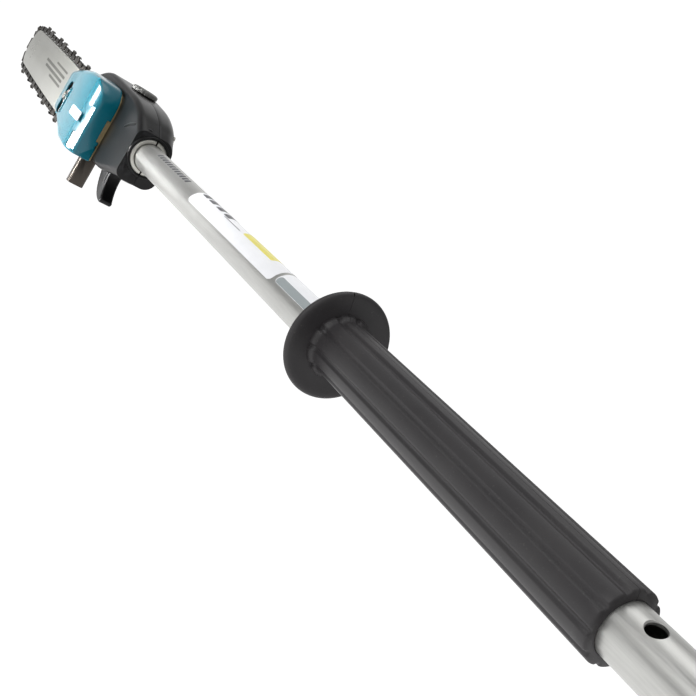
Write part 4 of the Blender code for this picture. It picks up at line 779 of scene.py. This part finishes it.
def make_housing_beads():
    y = PAD_Y
    ridges = {
        "ridge_collar": ([(0.7280, y - 0.8 * MM, 6 * MM), (0.7262, y - 1.5 * MM, -3 * MM),
                          (0.7242, y - 3.2 * MM, -11 * MM), (0.7236, y - 4.6 * MM, -18 * MM),
                          (0.7262, y - 7.0 * MM, -25.5 * MM), (0.7330, 0.0118, -28.6 * MM)],
                         1.7 * MM),
        "ridge_hook": ([(0.7560, 0.0128, -27 * MM), (0.7575, 0.0130, -34 * MM),
                        (0.7560, 0.0128, -42 * MM), (0.7530, 0.0124, -47 * MM)], 0.8 * MM),
        "ridge_arch": ([(0.7620, y - 0.3 * MM, 10 * MM), (0.7510, y - 0.3 * MM, 15.5 * MM),
                        (0.7385, y - 0.9 * MM, 19.5 * MM), (0.7300, y - 4.5 * MM, 20.8 * MM)],
                       1.7 * MM),
        "ridge_boss": ([(0.7262, 0.0140, 19 * MM), (0.7262, 0.0100, 21.6 * MM),
                        (0.7262, 0.0060, 20.4 * MM)], 1.6 * MM),
    }
    for name, (points, radius) in ridges.items():
        piece("housing_" + name, bead(points, radius), "housing", "pole", (), 60)


# ---- oil cap -----------------------------------------------------------------
def make_cap():
    x, y, _ = joint("cap_turn")["pos_m"]
    place = Matrix.Translation((x, y, 0))
    low = joint("cap_turn")["pos_m"][2] + 0.3 * MM
    top = CAP_HIGH.z
    radius = (CAP_HIGH.x - CAP_LOW.x) / 2
    count = 144

    def ring(r, z, knurl):
        out = []
        for i in range(count):
            a = TAU * i / count
            wave = knurl * max(0.0, math.cos(a * 18)) ** 0.5 if knurl else 0.0
            out.append(((r - wave) * math.cos(a), (r - wave) * math.sin(a), z))
        return out
    k = 0.45 * MM
    profile = ((7.5 * MM, low - 6 * MM, 0), (7.5 * MM, low, 0), (radius - 0.5 * MM, low, k),
               (radius - 0.05 * MM, low + 0.5 * MM, k), (radius - 0.05 * MM, top - 1.7 * MM, k),
               (radius - 0.5 * MM, top - 0.9 * MM, k * 0.6), (radius - 1.6 * MM, top - 0.3 * MM, 0),
               (radius - 2.6 * MM, top, 0), (radius - 4.2 * MM, top, 0),
               (radius - 4.8 * MM, top - 0.5 * MM, 0), (2 * MM, top - 0.6 * MM, 0))
    rings = [ring(*station) for station in profile]
    mesh = skin(rings)
    grip_bar = bevelled(block((-7.5 * MM, -1.5 * MM, top - 1.2 * MM), (7.5 * MM, 1.5 * MM, top)),
                        0.4 * MM, 3)
    mesh = fuse(mesh, grip_bar)
    piece("cap_knob", placed(mesh, place), "cap", "cap", ("oil_cap",), 35)


# ---- collar ring -------------------------------------------------------------
def make_collar():
    """The visible end of the clamp collar, in front of the case's own end face."""
    x = CASE_LOW.x
    inner, outer = PIPE_R + 0.45 * MM, 16.5 * MM
    profile = [(inner, x - 0.25 * MM), (inner + 0.4 * MM, x - 0.7 * MM),
               (outer - 1.2 * MM, x - 0.7 * MM), (outer - 0.4 * MM, x - 0.3 * MM),
               (outer, x + 0.3 * MM), (outer, x + 0.9 * MM), (inner, x + 0.9 * MM)]
    mesh = placed(turned(profile, 96, True), ALONG_X)
    slit = block((x - 3 * MM, -0.8 * MM, -20 * MM), (x + 3 * MM, 0.8 * MM, 20 * MM))
    piece("collar_face", cut(mesh, slit), "collar", "pole", (), 40)


# ---- sprocket cover ----------------------------------------------------------
# x, outer y, bottom z, top z, corner radius (millimetres)
COVER_ROWS = (
    (796.5, 36.0, -37.2, 14.0, 1.6), (796.8, 37.1, -37.6, 18.6, 1.8),
    (797.6, 38.6, -37.9, 22.0, 2.0), (799.0, 40.2, -38.0, 25.2, 2.2),
    (801.6, 42.1, -38.0, 28.2, 2.4), (804.8, 43.7, -38.0, 31.0, 2.8),
    (808.0, 44.8, -38.0, 32.9, 3.0), (811.0, 45.4, -38.0, 34.1, 3.4),
    (814.0, 45.7, -38.0, 34.8, 3.6), (818.0, 45.8, -38.0, 35.1, 4.0),
    (826.0, 45.8, -37.9, 35.4, 5.0), (844.0, 45.5, -37.5, 35.6, 6.0),
    (864.0, 43.9, -35.0, 34.5, 8.0), (884.0, 42.3, -31.8, 32.7, 9.0),
    (889.0, 41.6, -30.9, 32.1, 9.0), (900.0, 40.6, -29.4, 30.3, 9.0),
    (914.0, 39.7, -27.3, 27.6, 9.0), (928.0, 38.8, -24.5, 24.0, 8.0))
RIM_Y = 21.6 * MM
COVER_WALL = 2.4 * MM


def cover_ring(row, inset, rim):
    x, outer, bottom, top, corner = (v * MM for v in row)
    outer, bottom, top = outer - inset, bottom + inset, top - inset
    r = max(corner - inset, MM)
    points = [(x, rim, bottom)]
    for y, z, start in ((outer - r, bottom + r, -QUARTER), (outer - r, top - r, 0)):
        points += [(x, a, b) for a, b in arc((y, z), r, start, start + QUARTER, 10)]
    points.append((x, rim, top))
    return points


def cover_rows(inset):
    first, last = COVER_ROWS[0][0] + inset / MM, COVER_ROWS[-1][0] - inset / MM
    kept = [row for row in COVER_ROWS if first + 0.2 < row[0] < last - 0.2]
    ends = []
    for x in (first, last):
        for a, b in zip(COVER_ROWS, COVER_ROWS[1:]):
            if a[0] <= x <= b[0]:
                f = (x - a[0]) / (b[0] - a[0])
                ends.append(tuple(p + (q - p) * f for p, q in zip(a, b)))
                break
    return [ends[0]] + kept + [ends[-1]]


def cover_mesh(inset, rim):
    return skin([cover_ring(row, inset, rim) for row in cover_rows(inset)])


def make_cover():
    outside = bevelled(cover_mesh(0, RIM_Y), 0.9 * MM, 3, 40)
    mesh = cut(outside, cover_mesh(COVER_WALL, RIM_Y - 4 * MM))
    stud = (NUT_LOW + NUT_HIGH) / 2
    chain_side = BAR_Y + 4.4 * MM
    mesh = cut(mesh, block((858 * MM, RIM_Y - 4 * MM, -60 * MM), (950 * MM, chain_side, 60 * MM)))
    floor = NUT_LOW.y - 0.3 * MM
    x0, x1, z0, z1 = stud.x - 11 * MM, stud.x + 11 * MM, -24 * MM, 14 * MM
    well = prism(rounded_box(x0, x1, z0, z1, 8 * MM, 10), floor - COVER_WALL, 39.4 * MM)
    mesh = fuse(mesh, well)
    place = across(stud.x, stud.z)
    mesh = fuse(mesh, rod(10.5 * MM, BAR_HIGH.y + 0.3 * MM, floor - MM, 48), place)
    wall = 1.5 * MM
    pocket = rounded_box(x0 + wall, x1 - wall, z0 + wall, z1 - wall, 7 * MM, 10)
    mesh = cut(mesh, bevelled(prism(pocket, floor, 60 * MM), 0.8 * MM, 3, 60))
    mesh = cut(mesh, rod(4.3 * MM, 20 * MM, 50 * MM, 40), place)
    notch = block((COVER_LOW.x - 2 * MM, RIM_Y - 3 * MM, -18 * MM),
                  (COVER_LOW.x + 6 * MM, RIM_Y + 3 * MM, 5 * MM))
    mesh = cut(mesh, notch)
    small = block((COVER_LOW.x - 2 * MM, RIM_Y - 3 * MM, -24 * MM),
                  (COVER_LOW.x + 6 * MM, RIM_Y + 1.2 * MM, -21 * MM))
    mesh = cut(mesh, small)
    for x_far, y_far, x_near, y_near, z_low, z_high in (
            (813.2, 45.62, 798.4, 38.50, -20.0, 9.0), (807.6, 43.90, 798.2, 38.30, -35.0, -20.0)):
        facet = skin([[(x_far * MM, y_far * MM, z * MM), (x_near * MM, y_near * MM, z * MM),
                       (x_near * MM, 52 * MM, z * MM), (x_far * MM, 52 * MM, z * MM)]
                      for z in (z_low, z_high)])
        mesh = cut(mesh, facet)
    mesh = bevelled(mesh, 0.35 * MM, 2, 50)
    piece("cover_shell", mesh, "cover", "pole", ("sprocket_cover",), 24)
    # Painted shade: a dark sheet on the pocket floor and a thin dark lining on its walls, laid over
    # the cover's own teal inside the nut pocket
    shade_floor = cut(prism(rounded_box(x0 + 1.7 * MM, x1 - 1.7 * MM, z0 + 1.7 * MM, z1 - 1.7 * MM,
                                 6.8 * MM, 10), floor - 0.1 * MM, floor + 0.25 * MM),
               rod(4.6 * MM, 20 * MM, 50 * MM, 40), place)
    piece("pocket_shade_floor", shade_floor, "pocket", "pole", (), 40)
    inset, deep = 1.55 * MM, 1.85 * MM
    shade_walls = cut(prism(rounded_box(x0 + inset, x1 - inset, z0 + inset, z1 - inset, 6.9 * MM, 10),
                      floor + 0.3 * MM, 38.6 * MM),
                prism(rounded_box(x0 + deep, x1 - deep, z0 + deep, z1 - deep, 6.6 * MM, 10),
                      floor - MM, 50 * MM))
    piece("pocket_shade_walls", shade_walls, "pocket", "pole", (), 40)
    edge_x = x0 - 2.2 * MM
    rib = bead([(edge_x, 41.9 * MM, -20 * MM), (edge_x, 41.9 * MM, -6 * MM),
                (edge_x + 0.6 * MM, 41.9 * MM, 8 * MM)], 0.75 * MM, 0.5)
    piece("cover_rib", rib, "cover", "pole", (), 60)
    decal = prism(rounded_box(808 * MM, 844 * MM, -10.5 * MM, -1.5 * MM, 1.5 * MM, 5),
                  45.2 * MM, 45.95 * MM)
    piece("cover_decal", decal, "label", "pole", (), 40)


# ---- bar ---------------------------------------------------------------------
DRIVE_LINKS = 44
PITCH = 9.525 * MM
SPROCKET_R = PITCH / (2 * math.sin(PI / 12))
NOSE_R = 26.8 * MM
BAR_HALF = 29.4 * MM
WIDEST = 149 * MM
TAIL_X, TAIL_R = 69 * MM, 25 * MM
BAR_TAIL = 32 * MM
NOSE_X = (BAR_FRAME.inverted() @ NOSE).x


def loop_arcs():
    run = NOSE_X - WIDEST
    bow = (run ** 2 + BAR_HALF ** 2 - NOSE_R ** 2) / (2 * (BAR_HALF - NOSE_R))
    bow_centre = (WIDEST, BAR_HALF - bow)
    tail_run = TAIL_X - WIDEST
    tail_z = bow_centre[1] + math.sqrt((bow - TAIL_R) ** 2 - tail_run ** 2)
    nose_turn = math.atan2(-bow_centre[1], run)
    tail_turn = math.atan2(tail_z - bow_centre[1], tail_run)
    reach = math.hypot(TAIL_X, tail_z)
    leave = math.atan2(tail_z, TAIL_X) + math.acos((SPROCKET_R - TAIL_R) / reach)
    return (((NOSE_X, 0), NOSE_R, 0, nose_turn), (bow_centre, bow, nose_turn, tail_turn),
            ((TAIL_X, tail_z), TAIL_R, tail_turn, leave), ((0, 0), SPROCKET_R, leave, PI))


def loop_outline(offset, steps=(24, 60, 6, 16)):
    upper = []
    for (centre, radius, start, end), count in zip(loop_arcs(), steps):
        for point in arc(centre, radius + offset, start, end, count):
            if not upper or math.dist(point, upper[-1]) > 1e-6:
                upper.append(point)
    return upper + [(x, -z) for x, z in reversed(upper[1:-1])]


def make_bar():
    offset = -3.6 * MM
    low, high = BAR_LOW.y, BAR_HIGH.y
    mesh = prism(loop_outline(offset, (36, 70, 6, 16)), low, high)
    mesh = cut(mesh, block((-50 * MM, low - MM, -50 * MM), (BAR_TAIL, high + MM, 50 * MM)))
    mesh = bevelled(mesh, 0.35 * MM, 2, 50)
    half = 0.75 * MM
    groove = cut(prism(loop_outline(offset + 2 * MM), BAR_Y - half, BAR_Y + half),
                 prism(loop_outline(offset - 6 * MM), BAR_Y - 2 * half, BAR_Y + 2 * half))
    mesh = cut(mesh, groove)
    nose = across(NOSE_X, 0)
    mesh = cut(mesh, rod(NOSE_R + MM, BAR_Y - 1.1 * MM, BAR_Y + 1.1 * MM, 60), nose)
    mesh = cut(mesh, rod(3.7 * MM, low - MM, high + MM, 32), nose)
    slot = rounded_box(55.7 * MM, 98.3 * MM, -4.3 * MM, 4.3 * MM, 4.25 * MM, 12)
    mesh = cut(mesh, prism(slot, low - MM, high + MM))
    for side in (-1, 1):
        mesh = cut(mesh, rod(3 * MM, low - MM, high + MM, 28),
                   across(50 * MM, side * 12.5 * MM))
    piece("bar_blade", placed(mesh, BAR_FRAME), "bar", "bar", ("guide_bar",), 30)
    face = high - 0.03 * MM
    marks = [(146, 12, 60, 1.2), (148, 5.6, 106, 1.6), (152, 0, 96, 1.6), (150, -5.4, 62, 1.4)]
    bars = []
    for x, z, length, thick in marks:
        outline = rounded_box(x * MM, (x + length) * MM, (z - thick) * MM, (z + thick) * MM,
                              thick * 0.9 * MM, 5)
        bars.append(prism(outline, face, face + 0.08 * MM))
    piece("bar_etch_lines", placed(joined(bars), BAR_FRAME), "etch", "bar", (), 40)
    rivets = []
    for k in range(5):
        a = PI / 2 + (k - 2) * 0.55
        centre = (NOSE_X - 11 * MM + 8 * MM * math.cos(a + PI / 2), 13 * MM * math.sin(a + PI / 2))
        dome = turned([(0, high + 0.12 * MM), (1.0 * MM, high + 0.10 * MM),
                       (1.5 * MM, high - 0.02 * MM), (1.5 * MM, high - 0.3 * MM),
                       (0, high - 0.3 * MM)], 24)
        rivets.append(placed(dome, across(*centre)))
    piece("bar_nose_rivets", placed(joined(rivets), BAR_FRAME), "zinc", "bar", (), 40)


# ---- chain -------------------------------------------------------------------
def walk(path):
    """Distance along a closed path at each of its points."""
    total = [0.0]
    for a, b in zip(path, path[1:] + path[:1]):
        total.append(total[-1] + math.dist(a, b))
    return total


PATH = loop_outline(0, (60, 200, 12, 60))
TRAVEL = walk(PATH)


def path_point(distance):
    distance %= TRAVEL[-1]
    low, high = 0, len(PATH)
    while high - low > 1:
        middle = (low + high) // 2
        if TRAVEL[middle] <= distance:
            low = middle
        else:
            high = middle
    a, b = PATH[low], PATH[(low + 1) % len(PATH)]
    share = (distance - TRAVEL[low]) / max(TRAVEL[low + 1] - TRAVEL[low], 1e-9)
    return (a[0] + (b[0] - a[0]) * share, a[1] + (b[1] - a[1]) * share)


def link_frame(first, second):
    """Local +X from the first rivet to the second, local +Z away from the bar."""
    a, b = path_point(first), path_point(second)
    heading = Vector((a[0] - b[0], 0, a[1] - b[1])).normalized()
    outward = Vector((-heading.z, 0, heading.x))
    middle = Vector(((a[0] + b[0]) / 2, 0, (a[1] + b[1]) / 2))
    if outward.dot(middle - Vector((NOSE_X * 0.45, 0, 0))) < 0:
        outward = -outward
    side = outward.cross(heading)
    return columns(heading, side, outward, middle)


def side_plate(low, high):
    """A tie strap between two rivets, slightly waisted above."""
    p = PITCH / 2
    r = 2.8 * MM
    outline = arc((p, 0), r, -PI / 2, PI / 2.6, 8)
    outline += [(1.4 * MM, 2.2 * MM), (-1.4 * MM, 2.2 * MM)]
    outline += arc((-p, 0), r, PI - PI / 2.6, PI * 1.5, 8)
    return bevelled(prism(outline, low, high), 0.15 * MM, 1, 50)


def drive_link():
    p = PITCH / 2
    half = 0.6 * MM
    outline = arc((p, 0), 2.8 * MM, -0.9, PI / 2, 6) + arc((-p, 0), 2.8 * MM, PI / 2, PI + 0.9, 6)
    outline += [(-1.8 * MM, -2.9 * MM), (1.8 * MM, -2.9 * MM)]
    return bevelled(prism(outline, -half, half), 0.12 * MM, 1, 50)


def cutter(side):
    """The cutting link: side plate, raked top plate and depth gauge."""
    p = PITCH / 2
    plate_out = 2.2 * MM
    outline = arc((p + 0.6 * MM, -0.1 * MM), 2.9 * MM, -PI / 2.3, 0.5, 6)
    outline += [(p + 1.6 * MM, 4.9 * MM), (p - 0.4 * MM, 5.3 * MM), (p - 2.2 * MM, 3.0 * MM),
                (0.6 * MM, 1.9 * MM), (-0.4 * MM, 4.0 * MM), (-1.0 * MM, 5.9 * MM),
                (-p - 2.6 * MM, 5.1 * MM), (-p - 2.9 * MM, 0.4 * MM),
                (-p - 1.4 * MM, -2.8 * MM)]
    wall = bevelled(prism(outline, 1.25 * MM, plate_out), 0.12 * MM, 1, 50)
    top = bevelled(skin([
        [(-0.7 * MM, -0.6 * MM, 5.1 * MM), (-0.7 * MM, 2.9 * MM, 5.1 * MM),
         (-0.5 * MM, 2.9 * MM, 5.95 * MM), (-0.5 * MM, -0.6 * MM, 5.95 * MM)],
        [(-p - 2.6 * MM, -0.2 * MM, 4.3 * MM), (-p - 2.6 * MM, 2.5 * MM, 4.3 * MM),
         (-p - 2.6 * MM, 2.5 * MM, 5.1 * MM), (-p - 2.6 * MM, -0.2 * MM, 5.1 * MM)]]),
        0.15 * MM, 1, 50)
    bend = bevelled(prism([(-p - 2.5 * MM, 3.4 * MM), (-0.8 * MM, 3.4 * MM), (-0.6 * MM, 5.9 * MM),
                           (-p - 2.5 * MM, 5.0 * MM)], 1.5 * MM, 2.7 * MM), 0.35 * MM, 2, 50)
    mesh = joined([wall, top, bend])
    if side < 0:
        mesh = placed(mesh, Matrix.Scale(-1, 4, (0, 1, 0)))
        mesh.flip_normals()
    return mesh


def make_chain():
    step = TRAVEL[-1] / (DRIVE_LINKS * 2)
    strap_out = side_plate(1.25 * MM, 2.2 * MM)
    strap_in = side_plate(-2.2 * MM, -1.25 * MM)
    tang = drive_link()
    cutters = {1: cutter(1), -1: cutter(-1)}
    rivet = turned([(0, -2.5 * MM), (1.1 * MM, -2.5 * MM), (1.7 * MM, -2.2 * MM),
                    (1.7 * MM, 2.2 * MM), (1.1 * MM, 2.5 * MM), (0, 2.5 * MM)], 16)
    lift = Matrix.Translation((0, BAR_Y, 0))
    links, teeth, pins = [], [], []
    for i in range(DRIVE_LINKS * 2):
        start = step * (i + 0.5)
        place = lift @ link_frame(start, start + step)
        if i % 2 == 0:
            links.append(placed(tang, place))
        elif i % 4 == 1:
            hand = 1 if i % 8 == 1 else -1
            teeth.append(placed(cutters[hand], place))
            links.append(placed(strap_in if hand > 0 else strap_out, place))
        else:
            links.append(placed(strap_out, place))
            links.append(placed(strap_in, place))
        x, z = path_point(start)
        pins.append(placed(rivet, lift @ across(x, z)))
    piece("chain_links", placed(joined(links), BAR_FRAME), "chain", "bar",
          ("saw_chain",), 40)
    piece("chain_cutters", placed(joined(teeth), BAR_FRAME), "cutter", "bar", (), 40)
    piece("chain_rivets", placed(joined(pins), BAR_FRAME), "cutter", "bar", (), 40)


# ---- nut, and stop with its screw holes --------------------------------------
def make_nut():
    stud = (NUT_LOW + NUT_HIGH) / 2
    low, high = NUT_LOW.y, NUT_HIGH.y
    corner = 13 * MM / math.sqrt(3)
    flange = 8.25 * MM
    body = rod(corner, low + 0.8 * MM, high, 6)
    chamfer = turned([(0, low - MM), (9 * MM, low - MM), (9 * MM, high - 1.6 * MM),
                      (6.6 * MM, high), (0, high)], 64)
    body = modify(body, ('BOOLEAN', {"operation": 'INTERSECT', "mesh": chamfer}))
    skirt = turned([(0, low), (flange, low), (flange, low + 0.5 * MM), (6.9 * MM, low + 1.8 * MM),
                    (0, low + 1.8 * MM)], 64)
    mesh = fuse(body, skirt)
    mesh = cut(mesh, rod(4.25 * MM, low - MM, high + MM, 40))
    mesh = bevelled(mesh, 0.2 * MM, 2, 40)
    place = across(stud.x, stud.z)
    piece("nut_hex", placed(mesh, place), "zinc", "pole", ("bar_nut",), 25)


def make_stop():
    x0 = STOP_LOW.x
    y0, y1 = STOP_LOW.y, STOP_HIGH.y
    thick, depth, bend = 2.5 * MM, 8 * MM, 3.5 * MM
    outer = ([(x0 + depth, y1)] + arc((x0 + bend, y1 - bend), bend, QUARTER, PI, 8)
             + arc((x0 + bend, y0 + bend), bend, PI, 3 * QUARTER, 8) + [(x0 + depth, y0)])
    inner = ([(x0 + depth, y0 + thick)]
             + arc((x0 + bend, y0 + bend), bend - thick, 3 * QUARTER, PI, 8)
             + arc((x0 + bend, y1 - bend), bend - thick, PI, QUARTER, 8)
             + [(x0 + depth, y1 - thick)])
    low, top = STOP_LOW.z, STOP_HIGH.z
    mesh = skin([[(x, y, low) for x, y in outer + inner],
                 [(x, y, top - 2.3 * MM) for x, y in outer + inner]])
    tab = block((x0, y0 + MM, top - thick), (STOP_HIGH.x, PAD_Y - MM, top))
    mesh = fuse(mesh, tab)
    for i in (1, 2):
        s_low, s_high = low_high(f"stop_screw_{i}")
        middle = (s_low + s_high) / 2
        mesh = cut(mesh, rod(2.6 * MM, top - 10 * MM, top + 5 * MM, 24),
                   Matrix.Translation((middle.x, middle.y, 0)))
    mesh = bevelled(mesh, 0.3 * MM, 2, 50)
    piece("stop_channel", mesh, "stop", "pole", ("branch_stop",), 30)


# ---- finishes of the pieces that stay as they are ----------------------------
FINISHES = {
    "cast": ("gear_case", "gear_case_lid", "oil_pump_body"),
    "gear": ("drive_shaft", "bevel_pinion", "bevel_gear", "output_shaft", "oil_worm",
             "drive_sprocket", "retaining_clip", "pump_plunger", "nose_sprocket",
             "pinion_bearing_rear", "pinion_bearing_front", "output_bearing_left",
             "output_bearing_right"),
    "zinc": ("sprocket_washer", "clamp_bolt_1", "clamp_bolt_2", "locating_screw", "bar_stud",
             "tension_pin", "tension_screw", "nose_rivet", "stop_screw_1", "stop_screw_2",
             "housing_screw_1", "housing_screw_2", "housing_screw_3", "housing_screw_4"),
    "plate": ("bar_plate",),
    "seal": ("cap_seal",),
    "hose": ("oil_hose",),
    "tank": ("oil_tank",),
    "bush": ("shaft_bush_1", "shaft_bush_2", "shaft_bush_3", "shaft_bush_4")}


def finish_nodes():
    for finish, names in FINISHES.items():
        for name in names:
            mesh = NODES[name].data
            mesh.materials.clear()
            mesh.materials.append(MATERIAL[finish])


# ---- stage -------------------------------------------------------------------
LENS, SENSOR = 51.72, 36
CAMERA_PLACE = Vector((-0.138, 0.320, 0.088))
CAMERA_RIGHT = Vector((-0.4256, -0.7345, 0.5286))
CAMERA_UP = Vector((0.4155, 0.3604, 0.8351))
CAMERA_BACK = Vector((-0.8040, 0.5750, 0.1518))
GLOW_TOWARDS = (0.804, -0.575, -0.152)
GLOW_RANGE = {"From Min": 0.55, "From Max": 0.85, "To Min": 0.42, "To Max": 1.05}
FLOOR_DROP, FLOOR_THICK, FLOOR_GLOW = 0.60, 0.02, 0.62
# name, place, target, size, energy, spread in degrees
LIGHTS = (
    ("key_left", (0.2, 1.3, 0.7), (0.6, 0, 0), (1.0, 0.6), 8, 180),
    ("facet_soft", (1.15, 0.98, -0.10), (0.81, 0.04, 0), (0.30, 0.9), 3, 26),
    ("top_soft", (0.7, 0.1, 1.4), (0.7, 0, 0), (1.6, 1.0), 8, 180))


def make_camera():
    camera = bpy.data.cameras.new("camera")
    camera.sensor_width = SENSOR
    camera.lens = LENS
    camera.clip_start = 0.01
    obj = new_object("camera", camera)
    obj.matrix_world = columns(CAMERA_RIGHT, CAMERA_UP, CAMERA_BACK, CAMERA_PLACE)
    bpy.context.scene.camera = obj


def area_light(name, place, target, size, energy, spread):
    light = bpy.data.lights.new(name, 'AREA')
    light.shape = 'RECTANGLE'
    light.spread = math.radians(spread)
    light.size, light.size_y = size
    light.energy = energy
    obj = new_object(name, light)
    obj.location = place
    obj.rotation_euler = (Vector(target) - Vector(place)).to_track_quat('-Z', 'Y').to_euler()


def make_stage():
    world = bpy.data.worlds.new("studio")
    bpy.context.scene.world = world
    world.use_nodes = True
    tree = world.node_tree
    background = tree.nodes["Background"]
    direction = tree.nodes.new("ShaderNodeTexCoord").outputs["Generated"]
    towards = tree.nodes.new("ShaderNodeVectorMath")
    towards.operation = 'DOT_PRODUCT'
    tree.links.new(direction, towards.inputs[0])
    towards.inputs[1].default_value = GLOW_TOWARDS
    fade = tree.nodes.new("ShaderNodeMapRange")
    for key, value in GLOW_RANGE.items():
        fade.inputs[key].default_value = value
    tree.links.new(towards.outputs["Value"], fade.inputs["Value"])
    tree.links.new(fade.outputs["Result"], background.inputs["Strength"])
    background.inputs["Color"].default_value = (1.0, 1.0, 1.0, 1.0)
    floor_z = CAD_BOX[0].z - FLOOR_DROP
    corners = ((-6, -6), (8, -6), (8, 6), (-6, 6))
    mesh = skin([[(x, y, z) for x, y in corners] for z in (floor_z - FLOOR_THICK, floor_z)])
    n = Nodes("floor_paper")
    n.out(colour=n.mix(n.span(n.noise(3, 3), 0.3, 0.7, 0, 1), linear(246, 246, 246),
                       linear(252, 252, 252)), rough=0.9)
    n.shader.inputs["Emission Color"].default_value = (1, 1, 1, 1)
    n.shader.inputs["Emission Strength"].default_value = FLOOR_GLOW
    mesh.materials.append(n.material)
    floor = new_object("floor", mesh)
    for light in LIGHTS:
        area_light(*light)
    bpy.context.scene.view_settings.view_transform = 'Standard'


make_camera()
finish_nodes()
make_pole()
make_labels()
make_grip()
make_housing()
make_housing_beads()
make_cap()
make_collar()
make_cover()
make_bar()
make_chain()
make_nut()
make_stop()
make_stage()
